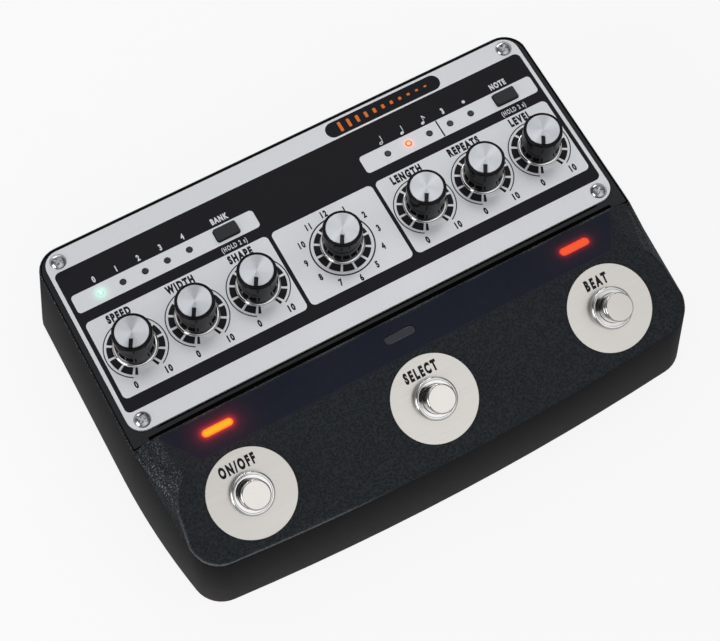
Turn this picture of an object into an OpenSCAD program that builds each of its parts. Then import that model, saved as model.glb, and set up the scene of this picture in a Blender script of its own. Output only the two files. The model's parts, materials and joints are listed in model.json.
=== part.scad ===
// Delay unit for the floor: a cast case with a sloping switch deck in front of a level control panel.
// X runs to the right, Y to the rear and Z up. The origin is on the floor, under the middle of the unit.

/* [Case] */
// Width of the case at its base
case_w = 192; // [180:1:216]
// Depth of the case at its base, with the bow of the front
case_d = 130; // [126:1:150]
// Height of the face plate's top above the floor
panel_h = 38.9; // [38:0.1:46]
// How far each side leans out from the rim down to the base
side_lean = 4.6; // [3.5:0.1:5.5]
// How far the front leans out from the rim's level down to the base
front_lean = 3.2; // [2.5:0.1:5]
// How far the rear leans out from the rim down to the base
rear_lean = 3.7; // [2.5:0.1:4.5]
// Thickness of the cast walls
wall_t = 3.2; // [2.8:0.1:3.6]
// Gap between the floor and the bottom edge of the case
floor_gap = 1; // [0.5:0.1:1.4]
// Corner radius of the base at the rear
rear_corner_r = 12; // [10:0.5:16]
// Corner radius of the base at the front
front_corner_r = 10.5; // [8:0.5:14]
// Radius of the bowed front, seen from above
front_bow_r = 960; // [700:10:2000]
// Radius of the inward sweep of the sides at the base, seen from above
side_sweep_r = 240; // [220:5:500]
// Radius of the inward sweep of the sides at the rim's level
rim_sweep_r = 430; // [300:5:800]
// Length of the swept part of each side, from the front
side_sweep_d = 57; // [50:1:60]
// Thickness of the rim round the top panel
rim_t = 0.5; // [0.4:0.05:1]
// How far the rim lies below the face plate's top
rim_drop = 0.8; // [0.4:0.1:1.2]

/* [Switch deck] */
// Depth of the raised deck, from the front to the wall behind the lamp strip
deck_d = 51; // [50:0.5:54]
// Slope of the deck, in degrees
deck_tilt = 23.5; // [21:0.5:26]
// Depth of the lamp strip, from the deck's crest to the strip's rear edge
strip_d = 14.9; // [13:0.1:16]
// Rise of the crest above the face plate
crest_rise = 5.9; // [4.5:0.1:8]
// Rise of the lamp strip's rear edge above the face plate
strip_rise = 2.4; // [1.5:0.1:3.5]
// Half the length of the lamp strip's rear edge
strip_half = 82; // [76:0.5:84]
// Half the width of the deck's ridge at its rear corners
ridge_half = 87.3; // [84:0.1:88]
// Corner radius of the ridge at the rear
ridge_corner_r = 13; // [10:0.5:18]
// Distance of the ridge inside the front wall
ridge_in = 0.2; // [0.1:0.1:1.5]
// Radius of the downward curve of the side edges, seen from the side
edge_curve_r = 125; // [110:1:220]
// Rounding of the outer edge of the deck
edge_r = 2.5; // [1.5:0.1:3]
// Rounding of the ridge and of the strip's rear edge
ridge_r = 1.6; // [0.8:0.1:2]

/* [Panel] */
// Thickness of the top panel
top_panel_t = 2; // [1.6:0.1:2.5]
// Seam between the top panel and the rim
seam = 0.3; // [0.2:0.05:0.6]
// Seam between the top panel and the deck
front_seam = 0.6; // [0.3:0.05:1]
// Thickness of the face plate
plate_t = 1; // [0.8:0.1:1.5]
// Margin of the top panel beside the face plate
plate_side_margin = 1.85; // [1.5:0.05:3.5]
// Margin of the top panel behind the face plate
plate_rear_margin = 0.85; // [0.4:0.05:2]
// Margin of the top panel in front of the face plate
plate_front_margin = 3.55; // [2:0.05:5]
// Corner radius of the face plate
plate_corner_r = 5.5; // [4:0.1:7]
// Distance of the panel screws from the sides of the face plate
panel_screw_in = 4.7; // [4:0.1:6]
// Distance of the panel screws from the face plate's front and rear edges
panel_screw_edge = 3.75; // [3.4:0.05:5]

/* [Knobs] */
// Place of the knob row in front of the face plate's middle, as a share of the plate's depth
knob_row_share = 0.1151; // [0.09:0.0001:0.14]
// Distance of each group of three knobs from the middle
knob_group_x = 53; // [50:0.5:54]
// Spacing of the knobs in a group
knob_pitch = 22; // [18:0.5:23]
// Height of the knobs above the face plate
knob_h = 13.1; // [12:0.1:16]
// Radius of a knob at its foot
knob_foot_r = 6.7; // [6:0.1:7.5]
// Radius of a knob at its top
knob_top_r = 6.5; // [6.1:0.05:6.6]
// Radius of the aluminium cap
cap_r = 5.45; // [4.5:0.05:5.9]
// Thickness of the aluminium cap
cap_t = 0.9; // [0.6:0.1:1.2]
// Radius of the chrome ring at the knob's foot
ring_r = 7.6; // [7:0.1:8.5]
// Height of the chrome ring
ring_h = 2.1; // [1.5:0.1:3]
// Width of the pointer line
pointer_w = 1.2; // [0.6:0.05:1.5]
// Inner end of the pointer line, from the knob's axis
pointer_in = 2.4; // [1.5:0.1:3.5]
// Direction of the pointer at rest, in degrees from the right
pointer_dir = 240; // [0:5:355]
// Radius of a control shaft
shaft_r = 3; // [2.5:0.1:3.2]
// Turning clearance of a control shaft in its body
shaft_fit = 0.08; // [0.03:0.01:0.1]

/* [Lamps and buttons] */
// Place of the row of lamps behind the face plate's middle, as a share of the plate's depth
lamp_row_share = 0.2086; // [0.18:0.0001:0.23]
// Spacing of the panel lamps
lamp_pitch = 8; // [6:0.5:9]
// Middle of the left row of lamps
left_lamps_x = -60.6; // [-64:0.1:-56]
// Middle of the right row of lamps
right_lamps_x = 45.5; // [42:0.1:48]
// Radius of a panel lamp's tip
lamp_r = 1; // [0.8:0.1:1.4]
// Place of the left button
left_button_x = -31; // [-34:0.5:-28]
// Place of the right button
right_button_x = 75; // [72:0.5:77]
// Length of a button
button_w = 8; // [6:0.1:9]
// Width of a button
button_d = 4.4; // [3.6:0.1:6]
// Height of a button above the face plate
button_rise = 1.2; // [0.9:0.1:2.5]
// Travel of a button
button_travel = 0.8; // [0.4:0.1:0.8]
// Length of a status lamp's window
lens_w = 11; // [8:0.5:14]
// Width of a status lamp's window
lens_d = 3.3; // [2.4:0.1:4.5]
// Distance of the status lamps in front of the strip's rear edge
lens_in = 7.1; // [6.8:0.1:8]

/* [Footswitches] */
// Distance of the switch row in front of the deck's crest
switch_in = 14.8; // [14:0.1:16]
// Spacing of the switches
switch_pitch = 65; // [58:0.5:66]
// Radius of the label disc
disc_r = 14.5; // [11:0.1:15]
// Thickness of the label disc
disc_t = 0.6; // [0.4:0.1:1]
// Radius of the round collar
collar_r = 7.1; // [6.8:0.1:8.5]
// Height of the round collar
collar_h = 3.2; // [2:0.1:4]
// Height of the collar's straight edge, below its dome
collar_edge_h = 1.3; // [0.5:0.1:1.6]
// Outer radius of the threaded bushing
bushing_r = 6; // [5.5:0.1:6.4]
// Radius of the plunger
plunger_r = 4.8; // [3.8:0.1:5]
// Sliding clearance of the plunger in its bushing
plunger_fit = 0.08; // [0.03:0.01:0.1]
// Height of the plunger's top above the label disc
plunger_h = 9.6; // [7.5:0.1:12]
// Travel of the plunger
plunger_travel = 2.5; // [1:0.1:3]
// Side of the square switch housing
housing_w = 18; // [17:0.5:20]
// Depth of the switch housing
housing_h = 17; // [14:0.5:19]

/* [Rear sockets] */
// Distance of the row of sockets from each side of the case
socket_margin = 16; // [14:0.5:18]
// Radius of a jack's bore for a 6.35 mm plug
jack_bore_r = 3.25; // [3.2:0.01:3.3]
// Depth of a jack's bore
jack_bore_l = 30; // [24:0.5:31]
// Radius of a jack's threaded nose
jack_nose_r = 4.9; // [4.5:0.1:5.2]
// How far the jacks stand out behind the base
jack_proud = 2; // [0.5:0.1:4]
// Thickness of a jack's nut
jack_nut_t = 2.8; // [2:0.1:3.5]
// Radius of a 3.5 mm jack's bore
mini_bore_r = 1.8; // [1.78:0.01:1.85]
// Radius of the power inlet's bore
inlet_bore_r = 2.85; // [2.75:0.05:3]
// Radius of the power inlet's pin
inlet_pin_r = 1.05; // [1:0.05:1.25]

/* [Base and boards] */
// Thickness of the base plate
base_t = 1.5; // [1.2:0.1:2]
// Radius of a rubber foot
foot_r = 7; // [5:0.5:8]
// Height of a rubber foot
foot_h = 2; // [1.8:0.1:2.4]
// Thickness of the circuit boards
board_t = 1.6; // [1.2:0.1:2]
// Gap between the jacks and the panel board above them
socket_gap = 2.5; // [1.8:0.1:4]
// Distance of the panel board below the top panel
panel_board_drop = 7.7; // [7.4:0.1:8.5]

/* [Hidden] */
$fn = 48;

// Overlap that keeps cuts clean, and the thickness of a slice inside a hull
eps = 0.01;
// Clearance between fixed pieces that pass through or seat in one another
fit = 0.05;
// Clearance round small pieces that pass through the panel
pass_gap = 0.15;
// Clearance between a moving piece and what it must not touch
move_gap = 0.3;

// Levels of the case, from the floor up
rim_z = panel_h - rim_drop;
seat_z = panel_h - plate_t - top_panel_t;
base_z = foot_h;
base_top = base_z + base_t;

// Plan of the case
front_y = -(case_d + jack_proud) / 2;
rear_y = front_y + case_d;
sweep_y = front_y + side_sweep_d;
deck_rear_y = front_y + deck_d;

// Run of n steps round an arc, without its first point
function arc(c, r, from, to, n) =
    [for (k = [1:n]) let (a = from + (to - from) * k / n) [c.x + r * cos(a), c.y + r * sin(a)]];

// Right-hand meeting point of a circle round a and a circle round b
function meeting(a, ra, b, rb) =
    let (gap = norm(b - a), dir = (b - a) / gap, along = (ra ^ 2 - rb ^ 2 + gap ^ 2) / (2 * gap))
    a + along * dir + sqrt(ra ^ 2 - along ^ 2) * [-dir.y, dir.x];

// Direction from one point to another, between 180 and 540 degrees
function bearing(from, to) = 360 + atan2(to.y - from.y, to.x - from.x);

// Level of height z on the walls: 0 at the base and 1 at the rim
function level(z) = (z - floor_gap) / (rim_z - floor_gap);

// Half width and sweep radius of the case at a level
function half_at(t) = case_w / 2 - t * side_lean;
function sweep_at(t) = side_sweep_r + t * (rim_sweep_r - side_sweep_r);

// Half width of the case at y and a level, moved in by inset
function side_x(y, t, inset) =
    half_at(t) - sweep_at(t) + sqrt((sweep_at(t) - inset) ^ 2 - min(0, y - sweep_y) ^ 2);

// Right half of the outline at a level, from the middle of the front to the rear, moved in by inset
function half_outline(t, inset) =
    let (
        bow = [0, front_y + t * front_lean + front_bow_r],
        sweep = [half_at(t) - sweep_at(t), sweep_y],
        corner = meeting(bow, front_bow_r - front_corner_r, sweep, sweep_at(t) - front_corner_r),
        rear_r = rear_corner_r - t * rear_lean,
        rear_at = [half_at(t) - rear_r, rear_y - t * rear_lean - rear_r]
    )
    concat(
        [[0, bow.y - front_bow_r + inset]],
        arc(bow, front_bow_r - inset, 270, bearing(bow, corner), 6),
        arc(corner, front_corner_r - inset, bearing(bow, corner), bearing(sweep, corner), 8),
        arc(sweep, sweep_at(t) - inset, bearing(sweep, corner), 360, 8),
        arc(rear_at, rear_r - inset, 0, 90, 8)
    );

// A half outline with its mirror image, as one closed line
function mirrored(half) =
    concat(half, [for (k = [len(half) - 1:-1:0]) if (half[k].x > 0) [-half[k].x, half[k].y]]);

// Switch deck: its crest, its slope and the curve of its outer edge
crest_y = deck_rear_y - strip_d;
crest_z = panel_h + crest_rise;
strip_z = panel_h + strip_rise;
strip_tilt = atan2(crest_z - strip_z, deck_rear_y - crest_y);
// How far the crest of a skin inside the case moves back, for each mm that the skin lies inside
crest_shift = (1 / cos(deck_tilt) - 1 / cos(strip_tilt)) / (tan(deck_tilt) + tan(strip_tilt));
ridge_turn_y = front_y + 1.55 * front_corner_r;
// Rounding of the deck's inner skin
inner_ridge_r = 1;
base_half = half_outline(0, 0);
front_steps = [for (k = [0:len(base_half) - 1]) if (base_half[k].y < deck_rear_y) k];
function deck_z(y) = crest_z - (crest_y - y) * tan(deck_tilt);
function strip_z_at(y) = strip_z + (deck_rear_y - y) * tan(strip_tilt);
function edge_z(y) = rim_z - (deck_rear_y - y) ^ 2 / (2 * edge_curve_r);

// Panel and face plate
panel_half = half_at(1) - rim_t - seam;
panel_rear_y = rear_y - rear_lean - rim_t - seam;
panel_front_y = deck_rear_y + front_seam;
panel_corner_r = rear_corner_r - rear_lean - rim_t - seam;
plate_w = 2 * (panel_half - plate_side_margin);
plate_d = panel_rear_y - panel_front_y - plate_rear_margin - plate_front_margin;
plate_y = panel_rear_y - plate_rear_margin - plate_d / 2;
knob_y = plate_y - knob_row_share * plate_d;
lamp_y = plate_y + lamp_row_share * plate_d;
knob_xs = [for (side = [-1, 1], k = [-1:1]) side * knob_group_x + k * knob_pitch];
control_xs = [knob_xs[0], knob_xs[1], knob_xs[2], 0, knob_xs[3], knob_xs[4], knob_xs[5]];
button_xs = [left_button_x, right_button_x];
lamp_steps = [-2:2];
left_lamp_xs = [for (k = lamp_steps) left_lamps_x + k * lamp_pitch];
right_lamp_xs = [for (k = lamp_steps) right_lamps_x + k * lamp_pitch];
green_lamp_x = left_lamp_xs[0];
orange_lamp_x = right_lamp_xs[1];
panel_screw_xs = [-1, 1] * (plate_w / 2 - panel_screw_in);
panel_screw_ys = [for (s = [-1, 1]) plate_y + s * (plate_d / 2 - panel_screw_edge)];

// Screws: the same pan head everywhere
screw_r = 1.5;
screw_head_r = 2.85;
screw_head_h = 1.4;
screw_slot_w = 0.7;
screw_l = 9;
board_screw_r = 1.25;
board_screw_l = 4.5;
boss_r = 4;
boss_web = 5;
boss_l = 10;

// Base fixings
plate_edge_in = 2;
plate_edge_gap = 0.3;
base_screw_in = 10;
base_boss_gap = 0.1;
base_screw_front = 18;
base_screw_rear = 12;
base_screw_ends = [front_y + base_screw_front, rear_y - base_screw_rear];
base_screw_ys = [base_screw_ends[0], (base_screw_ends[0] + base_screw_ends[1]) / 2, base_screw_ends[1]];
base_screws_at = [for (y = base_screw_ys, s = [-1, 1]) [s * side_x(y, 0, base_screw_in), y]];
foot_front = 30;
foot_rear = 22;
foot_in = 20;
foot_ys = [front_y + foot_front, rear_y - foot_rear];

// Boards
panel_board_top = seat_z - panel_board_drop;
panel_board_z = panel_board_top - board_t;
panel_board_margin = 5.8;
panel_board_gap = 0.5;
panel_board_w = plate_w - 2 * panel_board_margin;
panel_board_ys = [
    panel_screw_ys[0] + boss_r + panel_board_gap, panel_screw_ys[1] - boss_r - panel_board_gap
];
jack_body = [18, 24.5, 13];
jack_recess = 2.9;
jack_wall_t = 3;
jack_face_y = rear_y - jack_recess;
jack_inner_y = jack_face_y - jack_wall_t;
main_board_top = panel_board_z - socket_gap - jack_body.z;
main_board_z = main_board_top - board_t;
main_board_margin = 17;
main_board_front = 9;
main_board_rear = 0.6;
main_board_w = case_w - 2 * main_board_margin;
main_board_ys = [deck_rear_y + main_board_front, jack_inner_y - main_board_rear];
spacer_r = 2.9;
spacer_in = 5;
spacer_gap = 2.7;
upper_spacer_x = knob_group_x + knob_pitch / 2;
upper_spacer_ys = [panel_board_ys[0] + spacer_in, (lamp_y + panel_board_ys[1]) / 2];
upper_spacers_at = [for (s = [-1, 1], y = upper_spacer_ys) [s * upper_spacer_x, y]];
lower_spacer_x = main_board_w / 2 - spacer_in;
lower_spacer_ys = [main_board_ys[0] + spacer_in, jack_inner_y - jack_body.y - spacer_gap - spacer_r];
lower_spacers_at = [for (s = [-1, 1], y = lower_spacer_ys) [s * lower_spacer_x, y]];

// Controls under the panel
control_w = 9.8;
control_d = 11;
control_h = 7;
control_floor = 1;
shaft_in_knob = 7.2;
knob_z = panel_h + ring_h + move_gap;
knob_top = panel_h + knob_h;
knob_rim_drop = 0.2;
knob_chamfer = 0.4;
hub_r = 4.8;
hub_gap = 0.6;
pot_hole_r = shaft_r + 0.6;
button_r = 0.6;
button_flange = 1;
button_flange_t = 0.9;
button_z = seat_z - move_gap - button_flange_t;
tact_w = 6;
tact_h = 4;
tact_nub_r = 1.75;
tact_gap = 0.1;
tact_nub_h = button_z - button_travel - tact_gap - panel_board_top - tact_h;
lamp_body_r = 1.5;
lamp_shoulder = 1.4;
lamp_proud = 0.1;

// Footswitch and lamp frames on the slopes
switch_y = crest_y - switch_in;
switch_xs = [-1, 0, 1] * switch_pitch;
lens_y = deck_rear_y - lens_in;
collar_lip = 0.3;
bushing_flange_r = 8;
bushing_flange_t = 2;
plunger_flange_r = 6.6;
plunger_flange_t = 1.5;
plunger_rest_gap = 0.2;
housing_bore_r = 7.3;
housing_floor = 2.5;
housing_top = -wall_t - bushing_flange_t;
spring_r = 5;
spring_wire_r = 0.45;
spring_turns = 5;
spring_top = housing_top - plunger_rest_gap - plunger_flange_t - fit;
spring_foot = housing_top - housing_h + housing_floor + fit;
lens_depth = 8;
lens_flange = 1;
lens_flange_t = 1.2;
led_h = 1;
led_gap = 0.1;
status_board_w = 2 * switch_pitch + 20;
status_board_d = 10;
status_post_x = switch_pitch / 2;
status_post_r = 3;
status_board_top = -lens_depth - led_gap - led_h;

// Rear sockets
jack_z = main_board_top + jack_body.z / 2;
jack_tip_y = rear_y + jack_proud;
jack_nut_r = 8;
mini_body = [9, 13, 8];
mini_nose_r = 3.4;
mini_proud = 0.9;
mini_bore_l = 13;
inlet_body = [10, 13, 11];
inlet_nose_r = 4.4;
inlet_proud = 0.5;
inlet_bore_l = 10;
inlet_pin_back = 1.5;
socket_panel_w = case_w - 2 * socket_margin;
socket_panel_h = 19;
socket_edge = 2;

// Row of sockets with even gaps: the power inlet, two 3.5 mm jacks and four 6.35 mm jacks
socket_widths = inlet_body.x + 2 * mini_body.x + 4 * jack_body.x;
socket_space = (socket_panel_w - 2 * socket_edge - socket_widths) / 8;
inlet_x = -socket_panel_w / 2 + socket_edge + socket_space + inlet_body.x / 2;
mini_pitch = mini_body.x + socket_space;
mini_xs = [for (k = [0:1]) inlet_x + (inlet_body.x + mini_body.x) / 2 + socket_space + k * mini_pitch];
jack_pitch = jack_body.x + socket_space;
jack_xs = [for (k = [0:3]) mini_xs[1] + (mini_body.x + jack_body.x) / 2 + socket_space + k * jack_pitch];

// Chips and ribbon
chip = [10.5, 6.5, 1.8];
chip_pitch = 14;
chips_in = 4;
chips_x = -58;
processor = [14, 14, 1.6];
processor_x = 34;
ribbon_w = 24;
ribbon_t = 0.8;
ribbon_flat = 6;
ribbon_x = 8;
ribbon_in = 4;

// Plan and profile shapes

// Rectangle with round corners, made of true arcs
module round_rect(w, d, r) {
    square([w - 2 * r, d], center = true);
    square([w, d - 2 * r], center = true);
    for (sx = [-1, 1], sy = [-1, 1])
        translate([sx * (w / 2 - r), sy * (d / 2 - r)]) circle(r);
}

// Pill shape along X
module pill(w, d) {
    square([w - d, d], center = true);
    for (s = [-1, 1])
        translate([s * (w - d) / 2, 0]) circle(d / 2);
}

// Plan of the top panel, grown by grow at the rim and by front at its front edge
module panel_plan(grow, front) {
    half = panel_half + grow;
    r = panel_corner_r + grow;
    y0 = panel_front_y - front;
    y1 = panel_rear_y + grow;
    translate([-half, y0]) square([2 * half, y1 - r - y0]);
    translate([-half + r, y0]) square([2 * (half - r), y1 - y0]);
    for (s = [-1, 1])
        translate([s * (half - r), y1 - r]) circle(r);
}

// Thin slice of the case's outline at height z, used to span a wall
module slice(inset, z) {
    translate([0, 0, z]) linear_extrude(eps) polygon(mirrored(half_outline(level(z), inset)));
}

// Half space behind a plane across the case
module behind(y) {
    translate([-case_w, y, -case_w / 2]) cube([2 * case_w, 2 * case_d, case_w]);
}

// Case behind the deck: plain drafted walls from z0 up to z1
module rear_form(inset, z0, z1, from_y) {
    intersection() {
        hull() {
            slice(inset, z0);
            slice(inset, z1 - eps);
        }
        behind(from_y);
    }
}

// Case under the deck, with its drafted walls, cheeks, ridge, crest and lamp strip; the outer skin's
// side edges run on into the case behind the deck, and its ridge is rounded in finer steps
module deck_form(inset, z0, rear, edge, ridge) {
    base_line = [for (p = half_outline(level(z0), inset)) if (p.y < rear) p];
    ridge_half_line = half_outline(level(deck_z(front_y)), inset + ridge_in + ridge);
    ridge_line = [for (p = ridge_half_line) if (p.y < ridge_turn_y) p];
    corner_r = max(ridge_corner_r - inset, 1);
    corner_at = [ridge_half - inset - corner_r, crest_y + (inset + ridge) * crest_shift - corner_r];
    deck_drop = (inset + ridge) / cos(deck_tilt);
    strip_drop = (inset + ridge) / cos(strip_tilt);
    side_end = inset > 0 ? rear - edge : rear + edge;
    hull() {
        translate([0, 0, z0]) linear_extrude(eps)
            polygon(mirrored(concat(base_line, [[side_x(rear, level(z0), inset), rear]])));
        for (k = front_steps, s = [-1, 1]) {
            z = edge_z(half_outline(1, inset)[k].y);
            p = half_outline(level(z), inset + edge)[k];
            if (p.y < rear - edge) translate([s * p.x, p.y, z - inset - edge]) sphere(edge, $fn = 16);
        }
        for (s = [-1, 1])
            translate([s * side_x(side_end, 1, inset + edge), side_end, rim_z - inset - edge])
                sphere(edge, $fn = 16);
        for (p = mirrored(concat(ridge_line, arc(corner_at, corner_r, 0, 90, 6))))
            translate([p.x, p.y, deck_z(p.y) - deck_drop]) sphere(ridge, $fn = inset > 0 ? 8 : 24);
        for (s = [-1, 1])
            translate([s * (strip_half - inset), rear - ridge, strip_z_at(rear - ridge) - strip_drop])
                sphere(ridge, $fn = 16);
        for (s = [-1, 1])
            translate([s * (strip_half - inset) - ridge, rear - 2 * ridge, z0]) cube(2 * ridge);
    }
}

// Moves to the frame of footswitch k, square to the deck
module at_switch(x) {
    translate([x, switch_y, deck_z(switch_y)]) rotate([deck_tilt, 0, 0]) children();
}

// Moves to the frame of a status lamp, square to the strip
module at_strip(x) {
    translate([x, lens_y, strip_z_at(lens_y)]) rotate([-strip_tilt, 0, 0]) children();
}

// Turns Z to point out of the rear wall at x, y, z
module at_rear(x, y, z) {
    translate([x, y, z]) rotate([-90, 0, 0]) children();
}

// Pan-head screw with a cross recess, its head above Z = 0
module pan_screw(r, l) {
    dome_r = (screw_head_r ^ 2 + screw_head_h ^ 2) / (2 * screw_head_h);
    difference() {
        intersection() {
            translate([0, 0, screw_head_h - dome_r]) sphere(dome_r);
            cylinder(r = screw_head_r, h = screw_head_h);
        }
        for (a = [45, 135])
            rotate([0, 0, a]) translate([-screw_head_r / 2, -screw_slot_w / 2, screw_head_h / 2])
                cube([screw_head_r, screw_slot_w, screw_head_h]);
    }
    translate([0, 0, -l]) cylinder(r = r, h = l + eps);
}

// Boss at x, y with a web out to the wall beside it
module wall_boss(x, y, z0, z1) {
    side = sign(x);
    reach = side_x(y, level(z1), wall_t / 2) - abs(x);
    translate([x, y, z0]) cylinder(r = boss_r, h = z1 - z0);
    translate([side > 0 ? x : x - reach, y - boss_web / 2, z0]) cube([reach, boss_web, z1 - z0]);
}

// Hole through the rear wall for a socket's nose
module socket_hole(x, r) {
    at_rear(x, jack_inner_y - 1, jack_z) cylinder(r = r, h = 2 * jack_wall_t);
}

// Case pieces

module chassis() {
    socket_z = jack_z - socket_panel_h / 2;
    bar_y0 = deck_rear_y - wall_t;
    bar_y1 = panel_front_y + 2;
    color("#26272a") difference() {
        union() {
            difference() {
                union() {
                    deck_form(0, floor_gap, deck_rear_y, edge_r, ridge_r);
                    rear_form(0, floor_gap, rim_z, deck_rear_y - front_seam);
                }
                deck_form(wall_t, -eps, bar_y0, inner_ridge_r, inner_ridge_r);
                rear_form(wall_t, -eps, seat_z + eps, bar_y1);
                translate([-plate_w / 2, bar_y0 - wall_t, -eps])
                    cube([plate_w, bar_y1 - bar_y0 + 2 * wall_t, seat_z - wall_t]);
            }
            for (x = panel_screw_xs, y = panel_screw_ys) wall_boss(x, y, seat_z - boss_l, seat_z);
            for (p = base_screws_at) wall_boss(p.x, p.y, base_top + base_boss_gap, base_top + boss_l);
            translate([-socket_panel_w / 2, jack_inner_y, base_top])
                cube([socket_panel_w, jack_wall_t, panel_board_top - base_top]);
            for (s = [-1, 1]) at_strip(s * status_post_x)
                translate([0, 0, status_board_top])
                    cylinder(r = status_post_r, h = -status_board_top - inner_ridge_r);
        }
        translate([0, 0, seat_z]) linear_extrude(case_w) panel_plan(seam, front_seam);
        translate([0, 0, floor_gap - eps]) linear_extrude(base_top - floor_gap + eps)
            polygon(mirrored(half_outline(0, plate_edge_in)));
        translate([0, jack_face_y, jack_z]) rotate([-90, 0, 0])
            linear_extrude(case_w) round_rect(socket_panel_w - 2 * socket_edge, socket_panel_h, socket_edge);
        for (x = panel_screw_xs, y = panel_screw_ys)
            translate([x, y, seat_z - boss_l - eps]) cylinder(r = screw_r + fit, h = boss_l + 1);
        for (p = base_screws_at)
            translate([p.x, p.y, base_top]) cylinder(r = screw_r + fit, h = boss_l + 1);
        for (x = switch_xs) at_switch(x)
            translate([0, 0, -2 * wall_t]) cylinder(r = bushing_r + fit, h = 4 * wall_t);
        for (x = switch_xs) at_strip(x)
            translate([0, 0, -2 * wall_t]) linear_extrude(4 * wall_t)
                pill(lens_w + 2 * fit, lens_d + 2 * fit);
        for (s = [-1, 1]) at_strip(s * status_post_x)
            translate([0, 0, status_board_top - eps]) cylinder(r = board_screw_r + fit, h = board_screw_l);
        for (x = jack_xs) socket_hole(x, jack_nose_r + fit);
        for (x = mini_xs) socket_hole(x, mini_nose_r + fit);
        socket_hole(inlet_x, inlet_nose_r + fit);
    }
}

// Holes that the panel and the face plate share
module panel_holes() {
    for (x = control_xs) translate([x, knob_y]) circle(pot_hole_r);
    for (x = concat(left_lamp_xs, right_lamp_xs)) translate([x, lamp_y]) circle(lamp_r + pass_gap);
    for (x = button_xs) translate([x, lamp_y])
        round_rect(button_w + 2 * move_gap, button_d + 2 * move_gap, button_r + move_gap);
    for (x = panel_screw_xs, y = panel_screw_ys) translate([x, y]) circle(screw_r + pass_gap);
}

module top_panel() {
    color("#1d2125") translate([0, 0, seat_z]) linear_extrude(top_panel_t) difference() {
        panel_plan(0, 0);
        panel_holes();
    }
}

module face_plate() {
    color("#c9cbcf") translate([0, 0, panel_h - plate_t]) linear_extrude(plate_t) difference() {
        translate([0, plate_y]) round_rect(plate_w, plate_d, plate_corner_r);
        panel_holes();
    }
}

module base_plate() {
    color("#3a3c40") translate([0, 0, base_z]) linear_extrude(base_t) difference() {
        polygon(mirrored(half_outline(0, plate_edge_in + plate_edge_gap)));
        for (p = base_screws_at) translate(p) circle(screw_r + pass_gap);
        for (p = lower_spacers_at) translate(p) circle(board_screw_r + fit);
    }
}

module rubber_feet() {
    color("#1a1a1a") for (s = [-1, 1], y = foot_ys)
        translate([s * side_x(y, 0, foot_in), y, 0]) {
            cylinder(r1 = foot_r - foot_h / 4, r2 = foot_r, h = foot_h / 2);
            translate([0, 0, foot_h / 2]) cylinder(r = foot_r, h = foot_h / 2);
        }
}

module panel_screws() {
    color("#d8d8d8") for (x = panel_screw_xs, y = panel_screw_ys)
        translate([x, y, panel_h]) pan_screw(screw_r, screw_l);
}

module base_screws() {
    color("#b8b8b8") for (p = base_screws_at)
        translate([p.x, p.y, base_z]) mirror([0, 0, 1]) pan_screw(screw_r, screw_l);
}

// Lamps

module status_lens(x, tint) {
    color(tint) at_strip(x) {
        translate([0, 0, -lens_depth]) linear_extrude(lens_depth) pill(lens_w, lens_d);
        translate([0, 0, -wall_t - lens_flange_t - fit])
            linear_extrude(lens_flange_t) pill(lens_w + 2 * lens_flange, lens_d + 2 * lens_flange);
    }
}

module status_lens_left() { status_lens(switch_xs[0], "#ff9a10"); }

module status_lens_centre() { status_lens(switch_xs[1], "#4a4b50"); }

module status_lens_right() { status_lens(switch_xs[2], "#ff4a18"); }

module status_leds() {
    color("#e8e2c8") for (x = switch_xs) at_strip(x)
        translate([0, 0, status_board_top + led_h / 2]) cube([3, 2, led_h], center = true);
}

module status_board() {
    color("#1f5a35") at_strip(0) translate([0, 0, status_board_top - board_t])
        linear_extrude(board_t) difference() {
            square([status_board_w, status_board_d], center = true);
            for (s = [-1, 1]) translate([s * status_post_x, 0]) circle(board_screw_r + fit);
        }
}

module panel_lamp(x) {
    shoulder_z = seat_z - lamp_shoulder;
    tip_z = panel_h + lamp_proud;
    translate([x, lamp_y, panel_board_top]) cylinder(r = lamp_body_r, h = shoulder_z - panel_board_top);
    translate([x, lamp_y, shoulder_z - eps]) cylinder(r = lamp_r, h = tip_z - shoulder_z + eps);
}

module panel_leds_unlit() {
    color("#2c2d31") for (x = concat(left_lamp_xs, right_lamp_xs))
        if (x != green_lamp_x && x != orange_lamp_x) panel_lamp(x);
}

module panel_led_green() { color("#6dffb4") panel_lamp(green_lamp_x); }

module panel_led_orange() { color("#ff8a3c") panel_lamp(orange_lamp_x); }

// Boards and what stands on them

module board_plan(w, ys) {
    translate([-w / 2, ys[0]]) square([w, ys[1] - ys[0]]);
}

module panel_board() {
    color("#1f5a35") translate([0, 0, panel_board_z]) linear_extrude(board_t) difference() {
        board_plan(panel_board_w, panel_board_ys);
        for (p = upper_spacers_at) translate(p) circle(board_screw_r + fit);
    }
}

module main_board() {
    color("#1f5a35") translate([0, 0, main_board_z]) linear_extrude(board_t) difference() {
        board_plan(main_board_w, main_board_ys);
        for (p = lower_spacers_at) translate(p) circle(board_screw_r + fit);
    }
}

module spacer(p, z, h) {
    translate([p.x, p.y, z]) difference() {
        cylinder(r = spacer_r, h = h, $fn = 6);
        translate([0, 0, -eps]) cylinder(r = board_screw_r + fit, h = h + 2 * eps);
    }
}

module board_spacers() {
    color("#c8b46a") {
        for (p = upper_spacers_at) spacer(p, panel_board_top, panel_board_drop);
        for (p = lower_spacers_at) spacer(p, base_top, main_board_z - base_top);
    }
}

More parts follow.
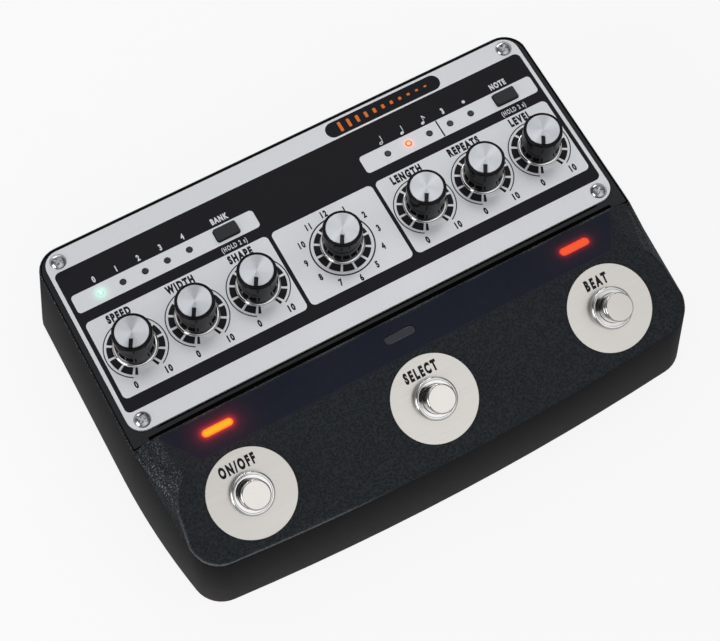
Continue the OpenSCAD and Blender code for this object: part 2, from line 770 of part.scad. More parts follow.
module board_screws() {
    color("#b8b8b8") {
        for (p = upper_spacers_at)
            translate([p.x, p.y, panel_board_z]) mirror([0, 0, 1]) pan_screw(board_screw_r, board_screw_l);
        for (p = lower_spacers_at)
            translate([p.x, p.y, main_board_top]) pan_screw(board_screw_r, board_screw_l);
        for (s = [-1, 1]) at_strip(s * status_post_x)
            translate([0, 0, status_board_top - board_t]) mirror([0, 0, 1])
                pan_screw(board_screw_r, board_screw_l);
    }
}

module control_bodies() {
    color("#4a4f58") for (x = control_xs) translate([x, knob_y, panel_board_top]) difference() {
        translate([-control_w / 2, -control_d / 2, 0]) cube([control_w, control_d, control_h]);
        translate([0, 0, control_floor]) cylinder(r = shaft_r + shaft_fit, h = control_h);
    }
}

module tact_switches() {
    color("#55585e") for (x = button_xs) translate([x, lamp_y, panel_board_top]) {
        translate([-tact_w / 2, -tact_w / 2, 0]) cube([tact_w, tact_w, tact_h]);
        translate([0, 0, tact_h - eps]) cylinder(r = tact_nub_r, h = tact_nub_h + eps);
    }
}

module delay_chips() {
    color("#18191b") translate([0, main_board_ys[0], main_board_top]) {
        for (k = [0:3], row = [0:1])
            translate([chips_x + k * chip_pitch, chips_in + row * chip_pitch, 0]) cube(chip);
        translate([processor_x, chips_in, 0]) cube(processor);
    }
}

module ribbon_cable() {
    bend_r = (panel_board_z - main_board_top) / 2;
    color("#8d9096")
        translate([ribbon_x - ribbon_w / 2, main_board_ys[0] + bend_r + ribbon_in, main_board_top + bend_r])
        rotate([90, 0, 90]) linear_extrude(ribbon_w) {
            difference() {
                circle(bend_r);
                circle(bend_r - ribbon_t);
                translate([0, -2 * bend_r]) square(4 * bend_r);
            }
            for (z = [-bend_r, bend_r - ribbon_t]) translate([-eps, z]) square([ribbon_flat, ribbon_t]);
        }
}

// Knobs, caps, shafts and rings

module knob_rings() {
    color("#d5d6d8") for (x = control_xs) translate([x, knob_y, panel_h]) rotate_extrude()
        polygon([
            [hub_r + move_gap, 0], [ring_r, 0], [ring_r, ring_h / 5],
            [knob_foot_r, ring_h], [hub_r + move_gap, ring_h]
        ]);
}

module knob(x) {
    seat = knob_top - cap_t;
    color("#141416") translate([x, knob_y, 0]) {
        difference() {
            rotate_extrude() polygon([
                [0, panel_h + hub_gap], [hub_r, panel_h + hub_gap], [hub_r, knob_z], [knob_foot_r, knob_z],
                [knob_top_r, knob_top - knob_rim_drop - knob_chamfer],
                [knob_top_r - knob_chamfer, knob_top - knob_rim_drop], [0, knob_top - knob_rim_drop]
            ]);
            translate([0, 0, seat]) cylinder(r = cap_r + fit, h = cap_t);
            cylinder(r = shaft_r + fit, h = knob_z + shaft_in_knob);
        }
        rotate([0, 0, pointer_dir]) translate([pointer_in, -pointer_w / 2, seat - eps])
            cube([cap_r - pointer_in + 2 * fit, pointer_w, cap_t - fit]);
    }
}

module knob_cap(x) {
    color("#c4c6ca") translate([x, knob_y, knob_top - cap_t]) difference() {
        cylinder(r = cap_r, h = cap_t);
        rotate([0, 0, pointer_dir]) translate([pointer_in - fit, -pointer_w / 2 - fit, -eps])
            cube([cap_r, pointer_w + 2 * fit, cap_t + 2 * eps]);
    }
}

module shaft(x) {
    bottom = panel_board_top + control_floor + fit;
    top = knob_z + shaft_in_knob - fit;
    color("#b4b6ba") translate([x, knob_y, bottom]) cylinder(r = shaft_r, h = top - bottom);
}

// Footswitch pieces

module switch_discs() {
    color("#cfccc6") for (x = switch_xs) at_switch(x) difference() {
        cylinder(r = disc_r, h = disc_t);
        translate([0, 0, -eps]) cylinder(r = bushing_r + fit, h = disc_t + 2 * eps);
    }
}

module switch_collars() {
    bore_r = bushing_r + fit;
    top_r = bore_r + collar_lip;
    dome_z = (top_r ^ 2 + collar_h ^ 2 - collar_r ^ 2 - collar_edge_h ^ 2) / (2 * (collar_h - collar_edge_h));
    dome_r = norm([collar_r, collar_edge_h - dome_z]);
    color("#d8d6d2") for (x = switch_xs) at_switch(x) translate([0, 0, disc_t]) difference() {
        intersection() {
            cylinder(r = collar_r, h = collar_h);
            translate([0, 0, dome_z]) sphere(dome_r);
        }
        translate([0, 0, -eps]) cylinder(r = bore_r, h = collar_h + 2 * eps);
    }
}

module switch_bushings() {
    color("#d8d6d2") for (x = switch_xs) at_switch(x) difference() {
        union() {
            translate([0, 0, housing_top]) cylinder(r = bushing_r, h = disc_t + collar_h - housing_top);
            translate([0, 0, housing_top]) cylinder(r = bushing_flange_r, h = bushing_flange_t);
        }
        translate([0, 0, housing_top - eps]) cylinder(r = plunger_r + plunger_fit, h = case_w);
    }
}

module switch_housings() {
    color("#2f3136") for (x = switch_xs) at_switch(x) difference() {
        translate([-housing_w / 2, -housing_w / 2, housing_top - housing_h])
            cube([housing_w, housing_w, housing_h]);
        translate([0, 0, housing_top - housing_h + housing_floor])
            cylinder(r = housing_bore_r, h = housing_h);
    }
}

// Coil of round wire, swept as one closed tube from z0 up to z1
module coil(z0, z1) {
    sides = 6;
    steps = 8;
    rings = spring_turns * steps;
    rise = (z1 - z0 - 2 * spring_wire_r) / rings;
    points = [for (k = [0:rings], j = [0:sides - 1])
        let (turn = 360 * k / steps, a = 360 * j / sides, r = spring_r + spring_wire_r * cos(a))
        [r * cos(turn), r * sin(turn), z0 + spring_wire_r + rise * k + spring_wire_r * sin(a)]];
    walls = [for (k = [0:rings - 1], j = [0:sides - 1])
        let (a = k * sides + j, b = k * sides + (j + 1) % sides)
        each [[a, b, b + sides], [a, b + sides, a + sides]]];
    first = [for (j = [1:sides - 2]) [0, j + 1, j]];
    last = [for (j = [1:sides - 2]) [rings * sides, rings * sides + j, rings * sides + j + 1]];
    polyhedron(points, [for (f = concat(walls, first, last)) [f[0], f[2], f[1]]]);
}

module switch_springs() {
    color("#9fa2a6") for (x = switch_xs) at_switch(x) coil(spring_foot, spring_top);
}

module switch_board() {
    color("#1f5a35") at_switch(0) translate([0, 0, housing_top - housing_h - board_t / 2])
        cube([2 * switch_pitch + housing_w, housing_w + 1, board_t], center = true);
}

module plunger(x) {
    flange_top = housing_top - plunger_rest_gap;
    top = disc_t + plunger_h;
    color("#d9d7d1") at_switch(x) rotate_extrude() polygon([
        [0, flange_top - plunger_flange_t], [plunger_flange_r, flange_top - plunger_flange_t],
        [plunger_flange_r, flange_top], [plunger_r, flange_top], [plunger_r, top - knob_chamfer],
        [plunger_r - knob_chamfer, top], [0, top]
    ]);
}

// Buttons

module button(x) {
    color("#17181a") translate([x, lamp_y, button_z]) {
        linear_extrude(panel_h + button_rise - button_z) round_rect(button_w, button_d, button_r);
        linear_extrude(button_flange_t)
            round_rect(button_w + 2 * button_flange, button_d + 2 * button_flange, button_r);
    }
}

// Rear sockets

module phone_jacks() {
    color("#1b1c1f") for (x = jack_xs) difference() {
        union() {
            translate([x - jack_body.x / 2, jack_inner_y - jack_body.y, main_board_top]) cube(jack_body);
            at_rear(x, jack_inner_y - eps, jack_z)
                cylinder(r = jack_nose_r, h = jack_tip_y - jack_inner_y + eps);
        }
        at_rear(x, jack_tip_y - jack_bore_l, jack_z) cylinder(r = jack_bore_r, h = jack_bore_l + eps);
    }
}

module phone_jack_nuts() {
    color("#d0d0d0") for (x = jack_xs) at_rear(x, jack_face_y, jack_z) difference() {
        cylinder(r = jack_nut_r, h = jack_nut_t, $fn = 6);
        translate([0, 0, -eps]) cylinder(r = jack_nose_r + fit, h = jack_nut_t + 2 * eps);
    }
}

module mini_jacks() {
    tip = jack_face_y + mini_proud;
    color("#1b1c1f") for (x = mini_xs) difference() {
        union() {
            translate([x - mini_body.x / 2, jack_inner_y - mini_body.y, main_board_top])
                cube([mini_body.x, mini_body.y, jack_z - main_board_top + mini_body.z / 2]);
            at_rear(x, jack_inner_y - eps, jack_z) cylinder(r = mini_nose_r, h = tip - jack_inner_y + eps);
        }
        at_rear(x, tip - mini_bore_l, jack_z) cylinder(r = mini_bore_r, h = mini_bore_l + eps);
    }
}

module power_inlet() {
    tip = jack_face_y + inlet_proud;
    color("#1b1c1f") {
        difference() {
            union() {
                translate([inlet_x - inlet_body.x / 2, jack_inner_y - inlet_body.y, main_board_top])
                    cube([inlet_body.x, inlet_body.y, jack_z - main_board_top + inlet_body.z / 2]);
                at_rear(inlet_x, jack_inner_y - eps, jack_z)
                    cylinder(r = inlet_nose_r, h = tip - jack_inner_y + eps);
            }
            at_rear(inlet_x, tip - inlet_bore_l, jack_z) cylinder(r = inlet_bore_r, h = inlet_bore_l + eps);
        }
        at_rear(inlet_x, tip - inlet_bore_l - eps, jack_z)
            cylinder(r = inlet_pin_r, h = inlet_bore_l - inlet_pin_back);
    }
}

chassis();
top_panel();
face_plate();
base_plate();
rubber_feet();
panel_screws();
base_screws();
status_lens_left();
status_lens_centre();
status_lens_right();
status_leds();
status_board();
panel_leds_unlit();
panel_led_green();
panel_led_orange();
panel_board();
main_board();
board_spacers();
board_screws();
control_bodies();
knob_rings();
switch_discs();
switch_collars();
switch_bushings();
switch_housings();
switch_springs();
switch_board();
tact_switches();
phone_jacks();
phone_jack_nuts();
mini_jacks();
power_inlet();
delay_chips();
ribbon_cable();
knob(control_xs[0]);  // rate_knob
knob(control_xs[1]);  // depth_knob
knob(control_xs[2]);  // variation_knob
knob(control_xs[3]);  // mode_knob
knob(control_xs[4]);  // time_knob
knob(control_xs[5]);  // intensity_knob
knob(control_xs[6]);  // volume_knob
knob_cap(control_xs[0]);  // rate_cap
knob_cap(control_xs[1]);  // depth_cap
knob_cap(control_xs[2]);  // variation_cap
knob_cap(control_xs[3]);  // mode_cap
knob_cap(control_xs[4]);  // time_cap
knob_cap(control_xs[5]);  // intensity_cap
knob_cap(control_xs[6]);  // volume_cap
shaft(control_xs[0]);  // rate_shaft
shaft(control_xs[1]);  // depth_shaft
shaft(control_xs[2]);  // variation_shaft
shaft(control_xs[3]);  // mode_shaft
shaft(control_xs[4]);  // time_shaft
shaft(control_xs[5]);  // intensity_shaft
shaft(control_xs[6]);  // volume_shaft
plunger(switch_xs[0]);  // effect_plunger
plunger(switch_xs[1]);  // memory_plunger
plunger(switch_xs[2]);  // tap_plunger
button(button_xs[0]);  // memory_button
button(button_xs[1]);  // division_button
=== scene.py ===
"""Delay unit for the floor: finishes, printed panel, knobs and studio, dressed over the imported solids."""

import json
import logging
import math
from dataclasses import dataclass, field
from enum import Enum
from functools import cache, reduce
from typing import Any, Callable, Iterable, Sequence

import bmesh
import bpy
from bmesh.types import BMEdge, BMesh, BMVert
from bpy.types import Curve, Material, Mesh, NodeSocket, NodeTree, Object, World
from mathutils import Matrix, Vector

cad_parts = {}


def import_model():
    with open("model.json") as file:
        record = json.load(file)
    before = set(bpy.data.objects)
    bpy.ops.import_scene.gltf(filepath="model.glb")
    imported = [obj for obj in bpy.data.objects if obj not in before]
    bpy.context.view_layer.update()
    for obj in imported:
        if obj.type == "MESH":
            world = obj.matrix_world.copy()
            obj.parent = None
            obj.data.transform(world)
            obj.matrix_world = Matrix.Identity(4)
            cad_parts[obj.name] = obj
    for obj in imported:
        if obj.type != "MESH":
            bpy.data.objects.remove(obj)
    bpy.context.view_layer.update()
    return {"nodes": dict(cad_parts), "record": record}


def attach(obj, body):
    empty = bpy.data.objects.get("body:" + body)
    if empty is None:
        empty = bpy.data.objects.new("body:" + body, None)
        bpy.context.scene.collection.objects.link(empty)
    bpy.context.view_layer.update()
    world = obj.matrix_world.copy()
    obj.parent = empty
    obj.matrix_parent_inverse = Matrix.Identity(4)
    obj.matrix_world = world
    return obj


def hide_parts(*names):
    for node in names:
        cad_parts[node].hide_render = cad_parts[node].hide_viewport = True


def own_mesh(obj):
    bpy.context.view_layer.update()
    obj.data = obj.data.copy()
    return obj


log = logging.getLogger("delay_unit")

MM = 0.001

# Points closer than this, in metres, are one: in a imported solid, and in a form made here
SOLID_WELD = 1e-6
MADE_WELD = 1e-8
# Turn from which an edge counts as sharp, and turn below which two faces count as one
SHARP = math.radians(40)
FLAT = math.radians(0.3)

# What a vector keeps when it is looked at from above
FLOOR_ONLY = (1, 1, 0)

# Places that several pieces share, in mm
PLATE_Z = 38.9
STRIP_Y = -22.1
SWITCH_XS = (-65.0, 0.0, 65.0)

Point = tuple[float, float]
Triple = tuple[float, float, float]
Outline = list[Point]
Inputs = dict[Any, Any] | Sequence[Any]


# Colours, nodes and small mesh tools


def linear(code: str) -> tuple[float, float, float, float]:
    """Turns an sRGB hex code into a linear colour.

    Args:
        code: Six hex digits after a hash sign.

    Returns:
        Red, green, blue and alpha, as shader sockets take them.
    """
    parts = [int(code[k : k + 2], 16) / 255 for k in (1, 3, 5)]
    red, green, blue = (c / 12.92 if c <= 0.04045 else ((c + 0.055) / 1.055) ** 2.4 for c in parts)
    return red, green, blue, 1.0


def per_metre(size_mm: float) -> float:
    """Texture scale of a pattern whose features are that many millimetres apart."""
    return 1 / (size_mm * MM)


def emptied(owner: Material | World) -> NodeTree:
    """Node tree of a material or a world, without the nodes that Blender starts it with."""
    owner.use_nodes = True
    owner.node_tree.nodes.clear()
    return owner.node_tree


def add(tree: NodeTree, kind: str, inputs: Inputs = (), out: int | str = 0, **settings: Any) -> NodeSocket | None:
    """Adds a node, sets it up and links it.

    Args:
        tree: Node tree that takes the node.
        kind: Blender's name of the node type, after the word ShaderNode.
        inputs: Output socket, value or hex colour for each input: in order, or by name or number.
        out: Name or number of the output that is asked for.
        **settings: Properties of the node.

    Returns:
        That output, or None where the node ends the tree.
    """
    made = tree.nodes.new(f"ShaderNode{kind}")
    for name, value in settings.items():
        setattr(made, name, value)
    for key, value in inputs.items() if isinstance(inputs, dict) else enumerate(inputs):
        if isinstance(value, NodeSocket):
            tree.links.new(value, made.inputs[key])
        else:
            made.inputs[key].default_value = linear(value) if isinstance(value, str) else value
    return made.outputs[out] if made.outputs else None


def product(tree: NodeTree, *values: Any) -> NodeSocket:
    """Product of sockets and numbers."""
    return reduce(lambda a, b: add(tree, "Math", (a, b), operation="MULTIPLY"), values)


def layered(tree: NodeTree, base: Any, *layers: tuple[NodeSocket, Any]) -> NodeSocket:
    """Colour of a base with more colours laid over it, each as far as its own share says."""
    for share, colour in layers:
        base = add(tree, "Mix", {0: share, 6: base, 7: colour}, 2, data_type="RGBA")
    return base


def seen(tree: NodeTree, share: NodeSocket) -> NodeSocket:
    """What counts as seen: 1 for the camera's own rays, and a share for those that gloss or glass sends on."""
    path = add(tree, "LightPath").node.outputs
    mirrored = add(tree, "Math", (path["Is Glossy Ray"], path["Is Transmission Ray"]), operation="MAXIMUM")
    return add(tree, "Math", (path["Is Camera Ray"], product(tree, mirrored, share)), operation="MAXIMUM")


def arc(centre: Point, radius: float, start: float, end: float, steps: int) -> Outline:
    """Points of an arc, both ends among them.

    Args:
        centre: Centre of the arc, in mm.
        radius: Its radius, in mm.
        start: First direction, in degrees from the right.
        end: Last direction, in degrees.
        steps: Number of steps between the ends.

    Returns:
        The points, in mm.
    """
    turns = (math.radians(start + (end - start) * k / steps) for k in range(steps + 1))
    return [(centre[0] + radius * math.cos(a), centre[1] + radius * math.sin(a)) for a in turns]


def rounded_box(left: float, right: float, low: float, high: float, radius: float) -> Outline:
    """Outline of a rectangle with round corners, in mm."""
    corners = [(right - radius, high - radius, 0), (left + radius, high - radius, 90)]
    corners += [(left + radius, low + radius, 180), (right - radius, low + radius, 270)]
    return [p for u, v, turn in corners for p in arc((u, v), radius, turn, turn + 90, 8)]


def ring_part(centre: Point, inner: float, outer: float, start: float, end: float) -> Outline:
    """Outline of a part of a flat ring, in mm and degrees."""
    steps = max(3, round(abs(end - start) / 3))
    return arc(centre, outer, start, end, steps) + arc(centre, inner, end, start, steps)


def placed(name: str, data: Any) -> Object:
    """New object of the scene."""
    obj = bpy.data.objects.new(name, data)
    bpy.context.scene.collection.objects.link(obj)
    return obj


def mesh_of(curve: Curve) -> Mesh:
    """Turns a curve or a text into a mesh.

    Args:
        curve: The curve.

    Returns:
        The mesh that it makes.
    """
    obj = placed(curve.name, curve)
    graph = bpy.context.evaluated_depsgraph_get()
    mesh = bpy.data.meshes.new_from_object(obj.evaluated_get(graph))
    bpy.data.objects.remove(obj)
    return mesh


def is_sharp(edge: BMEdge) -> bool:
    """True where two faces meet at a sharp edge."""
    return edge.calc_face_angle(0.0) > SHARP


def bevel(bm: BMesh, edges: list[BMEdge], width_mm: float, segments: int) -> None:
    """Rounds edges to that width."""
    size = {"offset": width_mm * MM, "segments": segments, "profile": 0.5}
    bmesh.ops.bevel(bm, geom=edges, affect="EDGES", clamp_overlap=True, **size)


def shaded(bm: BMesh, name: str, limit_deg: float = 40.0) -> Mesh:
    """Shades a form smooth and ends its building.

    Args:
        bm: The form.
        name: Name of the mesh.
        limit_deg: Turn above which an edge stays sharp.

    Returns:
        The mesh.
    """
    for face in bm.faces:
        face.smooth = True
    for edge in bm.edges:
        edge.smooth = edge.calc_face_angle(math.tau) < math.radians(limit_deg)
    return to_mesh(bm, name)


def turned(bm: BMesh, name: str, limit_deg: float = 40.0) -> Mesh:
    """Mesh of a form from the lathe: its ends joined, its faces turned outward, and shaded smooth."""
    bmesh.ops.remove_doubles(bm, verts=bm.verts, dist=MADE_WELD)
    bmesh.ops.recalc_face_normals(bm, faces=bm.faces)
    return shaded(bm, name, limit_deg)


def to_mesh(bm: BMesh, name: str) -> Mesh:
    """Ends the building of a form.

    Args:
        bm: The form.
        name: Name of the mesh.

    Returns:
        The mesh.
    """
    mesh = bpy.data.meshes.new(name)
    bm.to_mesh(mesh)
    bm.free()
    return mesh


def lathe(bm: BMesh, profile: Sequence[Point], centre: Point = (0.0, 0.0), turns: int = 96) -> list[BMVert]:
    """Turns a profile round an upright axis and adds it to a mesh.

    Args:
        bm: Mesh that takes the turned form.
        profile: Radius and height of each point, in mm, from the axis out and back, or once round.
        centre: Place of the axis, in mm.
        turns: Number of steps round the axis.

    Returns:
        The new points.
    """
    rings = []
    for radius, height in profile:
        ring = []
        for k in range(turns if radius else 1):
            a = math.tau * k / turns
            place = (centre[0] + radius * math.cos(a), centre[1] + radius * math.sin(a), height)
            ring.append(bm.verts.new(Vector(place) * MM))
        rings.append(ring)
    for low, high in zip(rings, rings[1:]):
        for k in range(turns):
            corners = [low[k % len(low)], low[(k + 1) % len(low)], high[(k + 1) % len(high)], high[k % len(high)]]
            corners = list(dict.fromkeys(corners))
            if len(corners) > 2:
                bm.faces.new(corners)
    return [vert for ring in rings for vert in ring]


# Lamps and finishes


@dataclass(frozen=True)
class Lamp:
    """Outline of a lamp: a pill, or a disc where it has no straight part.

    Attributes:
        centre: Its place, in mm.
        half: Half the length of its straight part, in mm.
        radius: Half its width, in mm.
    """

    centre: Point
    half: float = 0.0
    radius: float = 1.0

    def distance(self, tree: NodeTree, place: NodeSocket) -> NodeSocket:
        """How far a place is from the lamp's middle line.

        Args:
            tree: Node tree of the material.
            place: Place on the part.

        Returns:
            The distance as seen from above, in metres.
        """
        centre, half = Vector((*self.centre, 0)) * MM, (self.half * MM, 0, 0)
        steps = [("SUBTRACT", centre), ("ABSOLUTE",), ("SUBTRACT", half), ("MAXIMUM", (0, 0, 0))]
        for operation, *other in steps + [("MULTIPLY", FLOOR_ONLY)]:
            place = add(tree, "VectorMath", (place, *other), operation=operation)
        return add(tree, "VectorMath", (place,), "Value", operation="LENGTH")


@dataclass(frozen=True)
class Glow:
    """Glow painted as light on the surface round a lit lamp.

    Attributes:
        colour: Colour of the light at the lamp's rim.
        lamp: The lamp.
        reach: Distance in which the light falls to about a third, in mm.
    """

    colour: str
    lamp: Lamp
    reach: float

    def light(self, tree: NodeTree, place: NodeSocket) -> NodeSocket:
        """Colour of the light at a place on the part."""
        away = add(tree, "Math", (self.lamp.distance(tree, place), self.lamp.radius * MM), operation="SUBTRACT")
        share = add(tree, "Math", (product(tree, away, -1 / (self.reach * MM)),), operation="EXPONENT")
        return add(tree, "VectorMath", (linear(self.colour)[:3], share), operation="MULTIPLY")


def shining(colour: NodeSocket) -> dict[str, Any]:
    """Shader inputs of a surface that sends out light of that colour."""
    return {"Emission Color": colour, "Emission Strength": 1.0}


def painted_glow(tree: NodeTree, glows: Iterable[Glow]) -> dict[str, Any]:
    """Shader inputs of a surface with the glow of some lamps painted on it, all of them together."""
    place = add(tree, "TexCoord", out="Object")
    lights = [glow.light(tree, place) for glow in glows]
    return shining(reduce(lambda a, b: add(tree, "VectorMath", (a, b), operation="ADD"), lights))


LEFT_LENS, CENTRE_LENS, RIGHT_LENS = (Lamp((x, STRIP_Y), 3.85, 1.65) for x in SWITCH_XS)
GREEN_LED, ORANGE_LED = (Lamp((x, 38.4)) for x in (-76.6, 37.5))


@dataclass(frozen=True)
class Surface:
    """A surface as it was made.

    Attributes:
        name: Real material and how its surface was made.
    """

    name: str

    def inputs(self, tree: NodeTree) -> dict[str, Any]:
        """Adds the nodes that tell the surface from others.

        Args:
            tree: Node tree of the material.

        Returns:
            Socket or value for each input of the shader.
        """
        raise NotImplementedError

    @cache
    def material(self) -> Material:
        """Material of the surface, built when it is first asked for.

        Returns:
            The finished material.
        """
        made = bpy.data.materials.new(self.name)
        tree = emptied(made)
        add(tree, "OutputMaterial", (add(tree, "BsdfPrincipled", self.inputs(tree)),))
        return made


class Pattern(Enum):
    """How the fine pattern of a surface runs."""

    MOTTLE = "mottle"
    GRAIN = "grain"
    BRUSHED_X = "brushed along x"
    BRUSHED_Y = "brushed along y"
    TRACES = "traces"
    WIRES = "wires"


@dataclass(frozen=True)
class Finish(Surface):
    """A surface with two tones, a fine pattern and a shine.

    Attributes:
        low: Colour in the low places of the pattern.
        high: Colour on the high places.
        pattern: How the pattern runs.
        grain_mm: Distance between features of the pattern.
        relief_mm: Height of the pattern.
        smooth: Roughness on the high places.
        rough: Roughness in the low places.
        metallic: 1 for bare metal, 0 for paint and plastic.
        specular: Specular level of a surface that isn't metal.
        glows: Painted glow of the lit lamps that the surface lies round.
    """

    low: str
    high: str
    pattern: Pattern
    grain_mm: float
    relief_mm: float
    smooth: float
    rough: float
    metallic: float = 0.0
    specular: float = 0.5
    glows: tuple[Glow, ...] = ()

    # Scale along a brushed line against the scale across it
    BRUSHED_SHARE = 0.02

    def inputs(self, tree: NodeTree) -> dict[str, Any]:
        """Adds tone, shine and relief, which all follow the pattern; Args and Returns as in Surface."""
        value = self._pattern(tree)
        return {
            "Base Color": layered(tree, self.low, (value, self.high)),
            "Roughness": add(tree, "MapRange", (value, 0.25, 0.75, self.rough, self.smooth)),
            "Normal": add(tree, "Bump", {"Height": value, "Distance": self.relief_mm * MM, "Strength": 1.0}),
            "Metallic": self.metallic,
            "Specular IOR Level": self.specular,
        } | (painted_glow(tree, self.glows) if self.glows else {})

    def _pattern(self, tree: NodeTree) -> NodeSocket:
        """Makes the pattern.

        Args:
            tree: Node tree of the material.

        Returns:
            The pattern's value, from 0 in the low places to 1 on the high ones.
        """
        spread = {"Vector": add(tree, "TexCoord", out="Object"), "Scale": per_metre(self.grain_mm)}
        match self.pattern:
            case Pattern.GRAIN:
                cells = add(tree, "TexVoronoi", spread, "Distance", feature="SMOOTH_F1")
                return add(tree, "Math", (1.0, cells), operation="SUBTRACT")
            case Pattern.TRACES:
                return add(tree, "TexBrick", spread | {"Mortar Size": 0.06}, "Fac")
            case Pattern.WIRES:
                spread["Scale"] *= 2 / math.tau
                return add(tree, "TexWave", spread, "Fac", bands_direction="X")
            case Pattern.BRUSHED_X | Pattern.BRUSHED_Y:
                along, across = self.BRUSHED_SHARE, 1
                stretch = (along, across, 1) if self.pattern is Pattern.BRUSHED_X else (across, along, 1)
                spread["Vector"] = add(tree, "Mapping", {"Vector": spread["Vector"], "Scale": stretch})
        return add(tree, "TexNoise", spread | {"Detail": 3.0})


